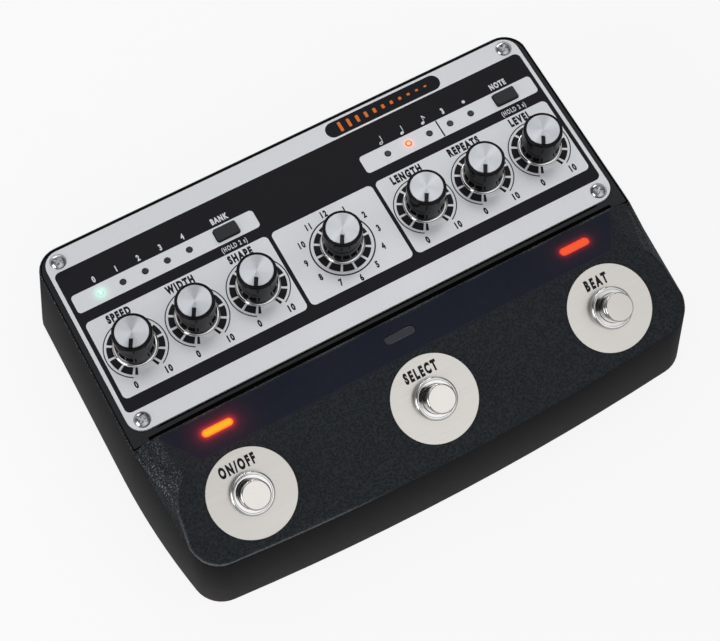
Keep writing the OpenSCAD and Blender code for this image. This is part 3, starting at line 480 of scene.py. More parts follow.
@dataclass(frozen=True)
class CasePaint(Surface):
    """Cast aluminium in black paint: grained where the foot rests, smooth on the walls and on the lamp strip.

    Attributes:
        name: Name of the material.
        deck: Colour of the grained paint in its pits, and between them.
        highlight_paint: Colour of the painted highlight on the round of the ridge's left end and of the left cheek.
        painted_glint: Colour of the painted glints on the grain of the left cheek.
        wall: Colours of the walls at the top and near the floor, the lower one painted bounce light from the floor.
        strip: Colours of the lamp strip.
        cell_mm: Size of the grain's cells.
        relief_mm: Height of the grain.
        wall_grain: Share of the grain that the walls keep.
        wave: Height of the slow waves in the paint, against the grain.
        floor_bounce_mm: Height over which the painted bounce light on the walls fades out.
        ridge_y: Where the front ridge starts, in mm.
        strip_normal: Direction that the lamp strip faces.
        strip_point: A point on the lamp strip, in mm.
        rough: Roughness of the smooth paint and of the grained.
        specular: Specular level of the paint.
        glows: Lit lamps in the strip, each with the painted glow close to it and the one further out.
    """

    name: str = "cast aluminium in grained black paint"
    deck: tuple[str, str] = ("#0e1215", "#23292e")
    # Light grey painted as a highlight along the ridge's left end and the left cheek
    highlight_paint: str = "#6c6f72"
    # Near white painted as glints on the left cheek's grain
    painted_glint: str = "#85888b"
    # Dark wall paint, and the lighter colour painted near the floor as bounce light
    wall: tuple[str, str] = ("#030404", "#545150")
    strip: tuple[str, str] = ("#191d2a", "#1f2431")
    cell_mm: float = 0.75
    relief_mm: float = 0.15
    wall_grain: float = 0.12
    wave: float = 0.04
    floor_bounce_mm: float = 34.0
    ridge_y: float = -50.0
    strip_normal: Triple = (0.0, 0.2287, 0.9735)
    strip_point: Triple = (0.0, STRIP_Y, 42.97)
    rough: Point = (0.34, 0.25)
    specular: float = 0.17
    # Glow painted on the strip round the lit left and right lenses
    glows: tuple[Glow, ...] = (
        Glow("#b31a26", LEFT_LENS, 0.6),
        Glow("#50101b", LEFT_LENS, 2.6),
        Glow("#7c0d18", RIGHT_LENS, 0.6),
        Glow("#27090f", RIGHT_LENS, 2.6),
    )

    def inputs(self, tree: NodeTree) -> dict[str, Any]:
        """Adds the paint's three surfaces and the painted glow of the lit lamps; Args and Returns as in Surface."""
        place = add(tree, "TexCoord", out="Object")
        normal = add(tree, "NewGeometry", out="Normal")
        level = add(tree, "MapRange", (add(tree, "SeparateXYZ", (normal,), "Z"), 0.15, 0.55))
        strip = self._on_strip(tree, place)
        off_strip = add(tree, "Math", (1.0, strip), operation="SUBTRACT")
        grained = product(tree, level, off_strip)
        hills, skin = self._grain(tree, place)
        depth = add(tree, "Math", (grained, self.wall_grain), operation="MAXIMUM")
        height = product(tree, hills, depth, off_strip)
        height = add(tree, "Math", (skin, self.wave, height), operation="MULTIPLY_ADD")

        tone = add(tree, "MapRange", (hills, 0.35, 1.0))
        # Painted highlight on the ridge and left cheek, and painted glints on the left cheek's grain
        painted_highlight, painted_glints = self._painted_highlight(tree, place, normal, tone), self._painted_glints(tree, place, normal)
        deck = layered(tree, self.deck[0], (tone, self.deck[1]), (painted_highlight, self.highlight_paint), (painted_glints, self.painted_glint))
        # Painted bounce light from the floor: the walls grow lighter towards the bottom
        low = add(tree, "MapRange", (add(tree, "SeparateXYZ", (place,), "Z"), self.floor_bounce_mm * MM, 0.0))
        low = add(tree, "Math", (low, 1.4), operation="POWER")
        low = product(tree, low, add(tree, "Math", (skin, 0.5, 0.75), operation="MULTIPLY_ADD"))
        strip_paint = layered(tree, self.strip[0], (skin, self.strip[1]))
        return {
            "Base Color": layered(tree, self.wall[0], (low, self.wall[1]), (level, deck), (strip, strip_paint)),
            "Roughness": add(tree, "MapRange", (grained, 0.0, 1.0, *self.rough)),
            "Normal": add(tree, "Bump", {"Height": height, "Distance": self.relief_mm * MM, "Strength": 1.0}),
            "Specular IOR Level": self.specular,
        } | painted_glow(tree, self.glows)

    def _grain(self, tree: NodeTree, place: NodeSocket) -> tuple[NodeSocket, NodeSocket]:
        """Makes the pitted leather grain.

        Args:
            tree: Node tree of the material.
            place: Place on the part.

        Returns:
            Height of the grain, and the slow waves of sprayed paint.
        """
        wrinkle = add(tree, "TexNoise", {"Vector": place, "Scale": per_metre(0.9), "Detail": 2.0}, "Color")
        bent = add(tree, "VectorMath", (wrinkle, (1.3 * MM,) * 3, place), operation="MULTIPLY_ADD")
        cells = add(tree, "TexVoronoi", {"Vector": bent, "Scale": per_metre(self.cell_mm)}, "Distance")
        hills = add(tree, "MapRange", (cells, 0.05, 0.75, 0.0, 0.62), interpolation_type="SMOOTHSTEP")
        fine = add(tree, "TexNoise", {"Vector": place, "Scale": per_metre(0.6), "Detail": 3.0})
        skin = add(tree, "TexNoise", {"Vector": place, "Scale": per_metre(2.2), "Detail": 2.0})
        return add(tree, "Math", (fine, 0.7, hills), operation="MULTIPLY_ADD"), skin

    def _painted_highlight(self, tree: NodeTree, place: NodeSocket, normal: NodeSocket, tone: NodeSocket) -> NodeSocket:
        """Finds where a highlight is painted: on the round of the ridge's left end and of the left cheek.

        Args:
            tree: Node tree of the material.
            place: Place on the part.
            normal: Direction that the surface faces.
            tone: Height of the grain, because the painted highlight is weakest in its pits.

        Returns:
            How strong the painted highlight is, up to 1.
        """
        facing, spot = (add(tree, "SeparateXYZ", (vector,)).node.outputs for vector in (normal, place))
        steep = add(tree, "Math", (facing["Z"], 0.66), operation="SUBTRACT")
        steep = add(tree, "Math", (steep,), operation="ABSOLUTE")
        front = add(tree, "MapRange", (facing["Y"], -0.3, -0.6))
        before = add(tree, "Math", (spot["Y"], self.ridge_y * MM), operation="LESS_THAN")
        ridge = product(tree, front, before, add(tree, "MapRange", (spot["X"], -24 * MM, -46 * MM)))
        cheek = add(tree, "MapRange", (facing["X"], -0.3, -0.6))
        cheek = product(tree, cheek, add(tree, "MapRange", (spot["Y"], -36 * MM, -50 * MM, 0.0, 0.5)))
        either = add(tree, "Math", (ridge, cheek), operation="MAXIMUM")
        kept = add(tree, "Math", (tone, 0.5, 0.5), operation="MULTIPLY_ADD")
        return product(tree, add(tree, "MapRange", (steep, 0.24, 0.06)), either, kept)

    def _painted_glints(self, tree: NodeTree, place: NodeSocket, normal: NodeSocket) -> NodeSocket:
        """Finds where glints are painted on the grain of the cheek that faces left.

        Args:
            tree: Node tree of the material.
            place: Place on the part.
            normal: Direction that the surface faces.

        Returns:
            1 on a painted glint, 0 away from it.
        """
        facing, spot = (add(tree, "SeparateXYZ", (vector,)).node.outputs for vector in (normal, place))
        grit = add(tree, "TexNoise", {"Vector": place, "Scale": per_metre(0.55), "Detail": 2.0})
        left, up, back = (facing["X"], -0.25, -0.6), (facing["Z"], 0.3, 0.55), (spot["Y"], -54 * MM, -28 * MM, 0.2)
        return product(tree, *(add(tree, "MapRange", span) for span in (left, up, (grit, 0.53, 0.7), back)))

    def _on_strip(self, tree: NodeTree, place: NodeSocket) -> NodeSocket:
        """1 on the plane of the lamp strip and 0 away from it."""
        offset = sum(n * p for n, p in zip(self.strip_normal, self.strip_point)) * MM
        along = add(tree, "VectorMath", (place, self.strip_normal), "Value", operation="DOT_PRODUCT")
        return add(tree, "Math", (along, offset, 0.08 * MM), operation="COMPARE")


@dataclass(frozen=True)
class LensGlow(Surface):
    """Moulded lens with a lamp behind it: brightest along its middle, deeper in colour at its rim.

    Attributes:
        core: Colour over the lamp.
        body: Colour between the core and the rim.
        rim: Colour at the rim.
        lamp: Outline of the lens.
        lit: True for a lamp that shines, false for one that only shows its own colour.
    """

    core: str
    body: str
    rim: str
    lamp: Lamp
    lit: bool = True

    def inputs(self, tree: NodeTree) -> dict[str, Any]:
        """Adds the rings of colour; Args and Returns as in Surface."""
        place = add(tree, "TexCoord", out="Object")
        share = add(tree, "Math", (self.lamp.distance(tree, place), self.lamp.radius * MM), operation="DIVIDE")
        mottle = add(tree, "TexNoise", {"Vector": place, "Scale": per_metre(0.9), "Detail": 1.0})
        colour = add(tree, "ValToRGB", (add(tree, "Math", (mottle, 0.14, share), operation="MULTIPLY_ADD"),))
        stops = colour.node.color_ramp.elements
        stops[0].position, stops[0].color = 0.45, linear(self.core)
        stops[1].position, stops[1].color = 1.0, linear(self.rim)
        stops.new(0.9).color = linear(self.body)
        shown = {"Base Color": (0.02, 0.01, 0.01, 1)} | shining(colour) if self.lit else {"Base Color": colour}
        return shown | {"Roughness": 0.25}


@dataclass(frozen=True)
class TurnedCap(Surface):
    """Aluminium faced on a lathe: fine rings about its middle, which spread a highlight into two fans.

    Attributes:
        centre: Axis of the cap, in mm.
        tone: Colours of the metal.
        ring_mm: Distance between the lathe's rings.
        relief_mm: Height of the rings.
    """

    centre: Point
    tone: tuple[str, str] = ("#cacdd2", "#dcdfe3")
    ring_mm: float = 0.35
    relief_mm: float = 0.004

    def inputs(self, tree: NodeTree) -> dict[str, Any]:
        """Adds the rings and the direction out from the axis; Args and Returns as in Surface."""
        arm = add(tree, "TexCoord", out="Object")
        for operation, other in (("SUBTRACT", Vector((*self.centre, 0)) * MM), ("MULTIPLY", FLOOR_ONLY)):
            arm = add(tree, "VectorMath", (arm, other), operation=operation)
        radius = add(tree, "VectorMath", (arm,), "Value", operation="LENGTH")
        spread = {"W": radius, "Scale": per_metre(self.ring_mm), "Detail": 2.0}
        rings = add(tree, "TexNoise", spread, noise_dimensions="1D")
        out = add(tree, "VectorTransform", (arm,), convert_from="OBJECT", convert_to="WORLD")
        return {
            "Base Color": layered(tree, self.tone[0], (rings, self.tone[1])),
            "Metallic": 1.0,
            "Roughness": 0.34,
            "Anisotropic": 0.95,
            "Tangent": add(tree, "VectorMath", (out,), operation="NORMALIZE"),
            "Normal": add(tree, "Bump", {"Height": rings, "Distance": self.relief_mm * MM, "Strength": 1.0}),
        }


# Finishes by the record's material slot. The numbers are grain and relief in mm, roughness high and low, and metal

# Glow painted on the plate round the lit green and orange lamps
PANEL_GLOWS = (Glow("#70c8a8", GREEN_LED, 0.9), Glow("#b0480c", ORANGE_LED, 0.8))

FINISHES: dict[str, Finish] = {
    # Even satin black with a soft sheen, so that the frame round the plate reads as a shadow line
    "panel_black": Finish(
        "steel sheet in satin black paint", "#0e1013", "#14161a", Pattern.MOTTLE, 0.8, 0.003, 0.32, 0.4, specular=0.3
    ),
    # Metallic silver whose fine flakes keep the plate from looking like grey card
    "plate_silver": Finish(
        "aluminium sheet with sprayed silver", "#e4e6e9", "#eceef0", Pattern.MOTTLE, 0.5, 0.002, 0.4, 0.46, 0.6,
        glows=PANEL_GLOWS,
    ),
    # Dull grey with faint rolling marks along the sheet
    "base_grey": Finish(
        "rolled steel sheet, zinc plated", "#4a4c50", "#6a6d72", Pattern.BRUSHED_X, 0.6, 0.004, 0.4, 0.55, 0.8
    ),
    # Matt black with a fine moulded texture
    "foot_rubber": Finish("moulded black rubber", "#121212", "#1e1e1e", Pattern.GRAIN, 0.7, 0.04, 0.75, 0.9),
    # Bright heads with the haze of tumbled plating
    "screw_chrome": Finish(
        "steel screw, nickel plated", "#96979a", "#c6c7ca", Pattern.MOTTLE, 0.4, 0.003, 0.16, 0.3, 1.0
    ),
    # Smoked window, darker than the strip's sheen but with a gloss of its own
    "lens_dark": Finish("smoked acrylic lens, unlit", "#101114", "#191a1e", Pattern.MOTTLE, 1.2, 0.002, 0.2, 0.3),
    # Cream phosphor behind a clear window
    "led_white": Finish("lamp chip with cream phosphor", "#d8cf9c", "#efe9c8", Pattern.MOTTLE, 0.5, 0.005, 0.4, 0.5),
    # Green solder mask, lighter where it lies over copper tracks
    "board_green": Finish(
        "glass epoxy board in green solder mask", "#2b6b42", "#174a2b", Pattern.TRACES, 5.0, 0.02, 0.35, 0.42
    ),
    # Yellow metal with turning marks
    "spacer_brass": Finish("turned brass", "#9a8344", "#c9b26c", Pattern.BRUSHED_X, 0.3, 0.004, 0.25, 0.35, 1.0),
    # Grey pressed steel can
    "control_steel": Finish(
        "pressed steel can, tin plated", "#6d7177", "#8f949b", Pattern.BRUSHED_Y, 0.4, 0.003, 0.3, 0.42, 1.0
    ),
    # Mirror chrome with slight ripples, so that reflections bend
    "ring_chrome": Finish(
        "brass ring, bright chrome", "#d3d2d1", "#e0dfde", Pattern.MOTTLE, 2.5, 0.004, 0.05, 0.08, 1.0
    ),
    # Warm white metal with a silky, nearly even shine
    "disc_nickel": Finish(
        "steel disc, satin nickel plated", "#cfccc6", "#d6d3cd", Pattern.BRUSHED_X, 0.35, 0.0005, 0.3, 0.34, 1.0
    ),
    # Dark moulded housing with a dull face
    "housing_black": Finish("moulded black nylon", "#1a1b1e", "#26282c", Pattern.MOTTLE, 0.6, 0.01, 0.5, 0.6),
    # Drawn wire with lengthwise lines
    "spring_steel": Finish(
        "drawn spring steel wire", "#85888c", "#b4b7bb", Pattern.BRUSHED_X, 0.2, 0.003, 0.25, 0.35, 1.0
    ),
    # Moulded socket with a slight gloss
    "socket_black": Finish(
        "moulded black socket plastic", "#101113", "#191a1d", Pattern.MOTTLE, 0.7, 0.006, 0.32, 0.42
    ),
    # Dull black package
    "chip_black": Finish("moulded epoxy chip", "#161719", "#212326", Pattern.MOTTLE, 0.4, 0.008, 0.5, 0.6),
    # Grey ribbon whose wires show as ridges
    "ribbon_grey": Finish("grey ribbon cable", "#6f7277", "#a3a6ab", Pattern.WIRES, 1.27, 0.2, 0.45, 0.55),
    # Deep gloss black that mirrors the panel, with faint flow marks from moulding
    "knob_black": Finish(
        "moulded gloss black knob", "#070708", "#0e0e10", Pattern.MOTTLE, 0.9, 0.004, 0.08, 0.14, specular=0.14
    ),
    # Bare steel with lines from grinding
    "shaft_steel": Finish("ground steel shaft", "#8e9196", "#b9bcc1", Pattern.BRUSHED_Y, 0.25, 0.003, 0.22, 0.32, 1.0),
    # Matt black key with softened edges
    "button_black": Finish("moulded matt black key", "#121316", "#1d1f23", Pattern.MOTTLE, 0.45, 0.006, 0.42, 0.55),
}

# Silky buttons that mirror the room as one even bright face
BUTTON_NICKEL = Finish("steel button, satin chrome", "#cac7c2", "#d2cfca", Pattern.MOTTLE, 0.4, 0.0002, 0.07, 0.09, 1.0)
# Ink lies a little duller than the metal under it, with the speckle of a screen
INK_BLACK = Finish(
    "screen printed black ink", "#121016", "#1a181e", Pattern.MOTTLE, 0.35, 0.002, 0.42, 0.5, specular=0.17
)
# White ink, slightly thin over the black so that it is not pure white
INK_WHITE = Finish("screen printed white ink", "#d9dbe0", "#f0f1f4", Pattern.MOTTLE, 0.3, 0.002, 0.45, 0.55)
# Orange ink, evenly opaque
INK_ORANGE = Finish("screen printed orange ink", "#e06a14", "#f58226", Pattern.MOTTLE, 0.3, 0.002, 0.45, 0.55)
# Black sheet painted as shadow: in the gap behind the deck and along the face plate's front edge
SHADOW_BLACK = Finish("painted shadow sheet", "#010101", "#040404", Pattern.MOTTLE, 0.3, 0.01, 0.8, 0.95, specular=0.05)


# Pieces


def piece(name: str, mesh: Mesh, body: str, surface: Surface, nodes: Iterable[str] = ()) -> Object:
    """Puts a mesh into the scene as a piece of the part.

    Args:
        name: Name of the piece.
        mesh: Its mesh, in metres in the part's frame.
        body: Body that carries it.
        surface: Its finish.
        nodes: Solids that it stands for.

    Returns:
        The new object.
    """
    obj = placed(name, mesh)
    obj.data.materials.clear()
    obj.data.materials.append(surface.material())
    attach(obj, body)
    for node in nodes:
        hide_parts(node)
    log.info("%s made, on %s", name, body)
    return obj


@dataclass
class Dresser:
    """Gives the solids their finishes, and softer edges where the eye meets them.

    Attributes:
        nodes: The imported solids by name.
        bodies: Name of the body that carries each solid.
    """

    nodes: dict[str, Object]
    bodies: dict[str, str]

    def slot_of(self, node: str) -> str:
        """Name of the material slot that a solid was packed with."""
        return self.nodes[node].material_slots[0].name.split(".")[0]

    def paint(self, node: str) -> None:
        """Gives a solid the finish of its slot."""
        self.nodes[node].material_slots[0].material = FINISHES[self.slot_of(node)].material()
        log.info("%s painted", node)

    def copied(self, node: str) -> BMesh:
        """Copies a solid's mesh and joins its points.

        Args:
            node: Name of the solid.

        Returns:
            The copy.
        """
        bm = bmesh.new()
        bm.from_mesh(self.nodes[node].data)
        bmesh.ops.remove_doubles(bm, verts=bm.verts, dist=SOLID_WELD)
        return bm

    def soften(
        self,
        node: str,
        edge_mm: float,
        finish: Surface | None = None,
        smooth_deg: float = 32.0,
        shape: Callable[[BMesh], None] | None = None,
    ) -> None:
        """Replaces a solid by a copy whose edges are rounded.

        Args:
            node: Name of the solid.
            edge_mm: Width of the rounding, or 0 for smooth shading alone.
            finish: Finish, where it isn't the slot's own.
            smooth_deg: Turn above which an edge stays sharp.
            shape: Further work on the copy's mesh, or none.
        """
        slot = self.slot_of(node)
        bm = self.copied(node)
        bmesh.ops.dissolve_limit(bm, angle_limit=FLAT, verts=bm.verts, edges=bm.edges)
        if shape:
            shape(bm)
        if edge_mm:
            bevel(bm, [e for e in bm.edges if is_sharp(e)], edge_mm, 2)
        mesh = shaded(bm, f"{node}_softened", smooth_deg)
        made = piece(f"{node}_dressed", mesh, self.bodies[node], finish or FINISHES[slot], [node])
        made.modifiers.new("weighted", "WEIGHTED_NORMAL").keep_sharp = True


@dataclass(frozen=True)
class Word:
    """A short line of generic lettering.

    Attributes:
        text: What it says.
        at: Place of its middle, in mm.
        cap_mm: Height of its capitals.
        narrow: Width against the letters' own width.
        weight: How much bolder the strokes are.
        spread: Distance between letters against the usual.
    """

    text: str
    at: Point
    cap_mm: float
    narrow: float = 0.68
    weight: float = 0.062
    spread: float = 1.28

    # Height of the font's capitals against its size
    CAP_SHARE = 0.729

    def mesh(self, thick_mm: float) -> Mesh:
        """Makes the lettering.

        Args:
            thick_mm: Thickness of the ink.

        Returns:
            A flat mesh with that thickness, in metres.
        """
        scale = self.cap_mm * MM / self.CAP_SHARE
        curve = bpy.data.curves.new("word", "FONT")
        curve.body = self.text
        curve.offset = self.weight
        curve.space_character = self.spread
        curve.resolution_u = 4
        curve.extrude = thick_mm * MM / 2 / scale
        mesh = mesh_of(curve)
        across = [v.co.x for v in mesh.vertices]
        middle = (min(across) + max(across)) / 2
        fit = Matrix.Diagonal((scale * self.narrow, scale, scale, 1))
        shift = Matrix.Translation((self.at[0] * MM, self.at[1] * MM - self.cap_mm * MM / 2, 0))
        mesh.transform(shift @ fit @ Matrix.Translation((-middle, 0, 0)))
        return mesh


@dataclass
class Artwork:
    """One layer of ink: closed outlines and words, flat, with the ink's thickness.

    Attributes:
        name: Name of the piece that it becomes.
        outlines: Closed outlines in mm; one inside another is a hole.
        words: Lines of lettering.
    """

    name: str
    outlines: list[Outline] = field(default_factory=list)
    words: list[Word] = field(default_factory=list)

    def mesh(self, base: Matrix, thick_mm: float) -> Mesh:
        """Makes the layer's mesh.

        Args:
            base: Matrix from the flat layer, in metres, to the part's frame.
            thick_mm: Thickness of the ink.

        Returns:
            The mesh, in the part's frame.
        """
        bm = bmesh.new()
        parts = [word.mesh(thick_mm) for word in self.words]
        if self.outlines:
            parts.append(self._filled(thick_mm))
        for part in parts:
            bm.from_mesh(part)
            bpy.data.meshes.remove(part)
        bmesh.ops.remove_doubles(bm, verts=bm.verts, dist=MADE_WELD)
        bm.transform(base)
        return to_mesh(bm, self.name)

    def _filled(self, thick_mm: float) -> Mesh:
        """Makes the outlines alone.

        Args:
            thick_mm: Thickness of the ink.

        Returns:
            A flat mesh with that thickness, in metres.
        """
        curve = bpy.data.curves.new(self.name, "CURVE")
        curve.dimensions = "2D"
        curve.fill_mode = "BOTH"
        curve.extrude = thick_mm * MM / 2
        for outline in self.outlines:
            spline = curve.splines.new("POLY")
            spline.points.add(len(outline) - 1)
            for point, (u, v) in zip(spline.points, outline):
                point.co = (u * MM, v * MM, 0, 1)
            spline.use_cyclic_u = True
        return mesh_of(curve)


# Sub-assemblies


@dataclass
class Case:
    """Cast case, top panel and base with its feet and screws.

    Attributes:
        dresser: Gives finishes.
        edges: Width of the rounding on each solid but the case itself, in mm.
        smooth_deg: Turn above which an edge of the case stays sharp.
        rim_z: Height of the case's rim, in mm.
        rim_mm: Rounding of the rim's outer edge.
        rim_half: Half the width inside the rim's side edges, in mm.
        corner_y: Where the rear corners start, in mm.
        seam_y: Where the deck's walls meet those of the rear, in mm.
        seam_z: Lowest and highest part of the seam that is evened out, in mm.
        seam_mm: Smallest and largest step that is evened out.
        wall_half: Half the width of the rear walls there, at the floor, in mm.
        draft: How much each wall leans in, per height.
        panel_z: Top of the panel, in mm.
        shadow_sheet_mm: Thickness of the black sheet of painted shadow.
    """

    dresser: Dresser
    edges: tuple[tuple[str, float], ...] = (
        ("top_panel", 0.25),
        ("face_plate", 0.2),
        ("panel_screws", 0.08),
        ("base_plate", 0.15),
        ("rubber_feet", 0.15),
        ("base_screws", 0.15),
    )
    smooth_deg: float = 34.0
    rim_z: float = 38.1
    rim_mm: float = 0.4
    rim_half: float = 90.8
    corner_y: float = 53.0
    seam_y: float = -15.6
    seam_z: Point = (5.0, 37.6)
    seam_mm: Point = (0.02, 1.2)
    wall_half: float = 96.04
    draft: float = 0.1233
    panel_z: float = 37.9
    shadow_sheet_mm: float = 0.02

    # Distance that counts as none, in mm
    NEAR = 0.02

    def build(self) -> None:
        """Dresses the case and what closes it."""
        self.dresser.soften("chassis", 0, CasePaint(), self.smooth_deg, self._round_case)
        for node, edge in self.edges:
            self.dresser.soften(node, edge)
        # Painted shadows, laid as black sheets on the panel
        self._painted_gap_shadows()

    def _painted_gap_shadows(self) -> None:
        """Lays black sheets of painted shadow: a dark line in the gap behind the deck, and another along the face
        plate's front edge.
        """
        behind_deck = [(-85, -14.2), (85, -14.2), (85, -12.85), (60, -12.55), (-60, -12.55), (-85, -12.95)]
        art = Artwork("panel_gap_shadow", [behind_deck, rounded_box(-81.0, 81.0, -11.45, -10.8, 0.2)])
        mesh = art.mesh(Matrix.Translation((0, 0, (self.panel_z + 0.6 * self.shadow_sheet_mm) * MM)), self.shadow_sheet_mm)
        piece(art.name, mesh, "case", SHADOW_BLACK)

    def _round_case(self, bm: BMesh) -> None:
        """Evens out the seam in the side walls, then rounds the outer edge of the rim behind the deck.

        Args:
            bm: Mesh of the case.
        """
        (low, high), (least, most) = self.seam_z, self.seam_mm
        for vert in bm.verts:
            x, y, z = (c / MM for c in vert.co)
            gap = self.wall_half - self.draft * z - abs(x)
            if abs(y - self.seam_y) < self.NEAR and low < z < high and least < gap < most:
                vert.co.x += math.copysign(gap * MM, x)
        rim = [e for e in bm.edges if self._on_rim(e)]
        bevel(bm, rim, self.rim_mm, 4)
        log.info("%d rim edges rounded", len(rim))

    def _on_rim(self, edge: BMEdge) -> bool:
        """Tells the rim's outer edges from all others.

        Args:
            edge: An edge of the case.

        Returns:
            True on the outer edge of the rim.
        """
        level = all(abs(v.co.z - self.rim_z * MM) < self.NEAR * MM for v in edge.verts)
        if not level or not is_sharp(edge):
            return False
        wall = min((f.normal for f in edge.link_faces), key=lambda n: abs(n.z))
        middle = (edge.verts[0].co + edge.verts[1].co) / 2
        side, rear = abs(middle.x) > self.rim_half * MM, middle.y > self.corner_y * MM
        return (side or rear) and wall.x * middle.x + wall.y * middle.y > 0


@dataclass
class PanelPrint:
    """Print on the face plate: black field, dials, titles and the marks over the lamps.

    Attributes:
        plate_y: Middle of the face plate, in mm.
        knob_v: Row of the knobs, in the plate's own frame, in mm.
        legend_v: Row of the marks over the lamps, likewise.
        thick_mm: Thickness of a layer of ink.
        pot_us: Place of each control with a dial, in mm.
        titles: Generic word over each dial.
        left_lamps: Place of each lamp on the left, in mm.
        right_lamps: Place of each lamp on the right, in mm.
        band: Inner and outer radius of a dial's ring, in mm.
        sweep: First and last direction of a dial, in degrees.
        step: Turn from one tick to the next, in degrees.
        tick: Half the width of a bare tick, in degrees.
    """

    plate_y: float = 23.9
    knob_v: float = -8.0
    legend_v: float = 19.9
    thick_mm: float = 0.024
    pot_us: tuple[float, ...] = (-75.0, -53.0, -31.0, 31.0, 53.0, 75.0)
    titles: tuple[str, ...] = ("SPEED", "WIDTH", "SHAPE", "LENGTH", "REPEATS", "LEVEL")
    left_lamps: tuple[float, ...] = (-76.6, -68.6, -60.6, -52.6, -44.6)
    right_lamps: tuple[float, ...] = (29.5, 37.5, 45.5, 53.5, 61.5)
    band: Point = (7.2, 9.45)
    sweep: tuple[int, int] = (-60, 240)
    step: int = 30
    tick: float = 2.7

    # Middle of a layer of ink in its own thickness, a little low, so that no gap shows under it
    SUNK = 0.45

    def build(self) -> None:
        """Lays the layers of ink on the plate."""
        for art in (self._field(), self._dials(), self._titles()):
            self._lay(art, 0, INK_BLACK)
        self._lay(self._legends(), 1, INK_WHITE)
        self._lay(self._pulses(), 1, INK_ORANGE)

    def _lay(self, art: Artwork, layer: int, ink: Finish) -> None:
        """Puts one layer of ink on the plate, above the layers before it."""
        height = PLATE_Z + self.thick_mm * (layer + self.SUNK)
        mesh = art.mesh(Matrix.Translation((0, self.plate_y * MM, height * MM)), self.thick_mm)
        piece(art.name, mesh, "case", ink)

    def _field(self) -> Artwork:
        """Black field with the bare boxes and lamp strips, and the black pill above it."""
        boxes = [(-87.5, 87.5, -27.25, 27.4, 2.0)]
        boxes += [(left, right, -22.5, 7.1, 1.75) for left, right in ((-86.0, -20.2), (-18.8, 18.8), (20.1, 86.1))]
        boxes += [(left, right, 10.9, 17.8, 1.3) for left, right in ((-86.0, -20.1), (20.0, 86.2))]
        boxes += [(15.0, 58.6, 28.1, 33.9, 2.85), (49.35, 49.85, 11.0, 17.7, 0.2)]
        return Artwork("print_field", [rounded_box(*box) for box in boxes])

    def _dials(self) -> Artwork:
        """Dial rings with bare ticks, and the thin line round each."""
        art = Artwork("print_dials")
        first, last = self.sweep
        ends = [(first - self.tick - 6, first - self.tick), (last + self.tick, last + self.tick + 6)]
        for u in self.pot_us:
            at = (u, self.knob_v)
            art.outlines += [ring_part(at, *self.band, *part) for part in self._between_ticks(first, last) + ends]
            art.outlines.append(ring_part(at, 10.22, 10.58, first, last))
        at = (0.0, self.knob_v)
        art.outlines += [ring_part(at, *self.band, *part) for part in self._between_ticks(0, 360)]
        art.outlines += [arc(at, radius, 0, 357, 119) for radius in (10.93, 10.45)]
        return art

    def _between_ticks(self, first: int, last: int) -> list[Point]:
        """Start and end of each inked part of a dial, in degrees."""
        return [(a + self.tick, a + self.step - self.tick) for a in range(first, last, self.step)]

    def _titles(self) -> Artwork:
        """Words over the dials, their end numbers and the selector's numbers."""
        art = Artwork("print_titles")
        for u, title in zip(self.pot_us, self.titles):
            art.words.append(Word(title, (u, 4.85), 2.8, narrow=0.62, weight=0.07, spread=1.36))
            art.words += [Word("0", (u - 5.5, -19.5), 2.35), Word("10", (u + 6.1, -19.5), 2.35)]
        for k in range(12):
            a = math.radians(60 - self.step * k)
            at = (13.4 * math.cos(a), self.knob_v + 13.0 * math.sin(a))
            art.words.append(Word(str(k + 1), at, 2.3, weight=0.055))
        return art

    def _legends(self) -> Artwork:
        """Marks on the black field: numbers and notes over the lamps, and words by the keys."""
        art = Artwork("print_legends")
        art.words += [Word(str(k), (u, self.legend_v), 2.15, weight=0.045) for k, u in enumerate(self.left_lamps)]
        *notes, triplet, dot = self.right_lamps
        for k, u in enumerate(notes):
            art.outlines += self._note(u, 19.0, hollow=k == 0, flag=k == 2)
        art.words.append(Word("3", (triplet, self.legend_v), 2.15))
        art.outlines.append(arc((dot, 19.5), 0.6, 0, 340, 17))
        for u, word in ((-31.0, "BANK"), (75.0, "NOTE")):
            art.words.append(Word(word, (u, self.legend_v), 2.1, narrow=0.66))
            art.words.append(Word("(HOLD 2 s)", (u, 9.0), 1.75, narrow=0.62, weight=0.035))
        return art

    def _note(self, u: float, v: float, hollow: bool, flag: bool) -> list[Outline]:
        """Draws a musical note.

        Args:
            u: Place of its head across the plate, in mm.
            v: Place of its head up the plate, in mm.
            hollow: True for a head with a hole.
            flag: True for a stem with a flag.

        Returns:
            Its outlines, in mm.
        """
        cos, sin = math.cos(math.radians(25)), math.sin(math.radians(25))

        def head(size: float) -> Outline:
            """Leaning oval of that size."""
            spots = [(x * (0.75 * size), y * (0.52 * size)) for x, y in arc((0, 0), 1.0, 0, 345, 23)]
            return [(u + x * cos - y * sin, v + x * sin + y * cos) for x, y in spots]

        stem, top = u + 0.62, v + 2.7
        left, right, edge = stem - 0.02, stem + 0.22, stem + 0.24
        shapes = [head(1.0)]
        if hollow:
            shapes.append(head(0.5))
        shapes.append([(left, v + 0.62), (right, v + 0.62), (right, top), (left, top)])
        if flag:
            shapes.append([(edge, top), (stem + 1.0, v + 1.7), (stem + 0.95, v + 1.2), (edge, v + 2.1)])
        return shapes

    def _pulses(self) -> Artwork:
        """Row of bars that die away, as repeats do."""
        art = Artwork("print_pulses")
        for k in range(11):
            u, half = 20.5 + 3.26 * k, 1.9 * 0.84**k
            art.outlines.append(rounded_box(u - 0.55, u + 0.55, 31.0 - half, 31.0 + half, 0.3))
        return art


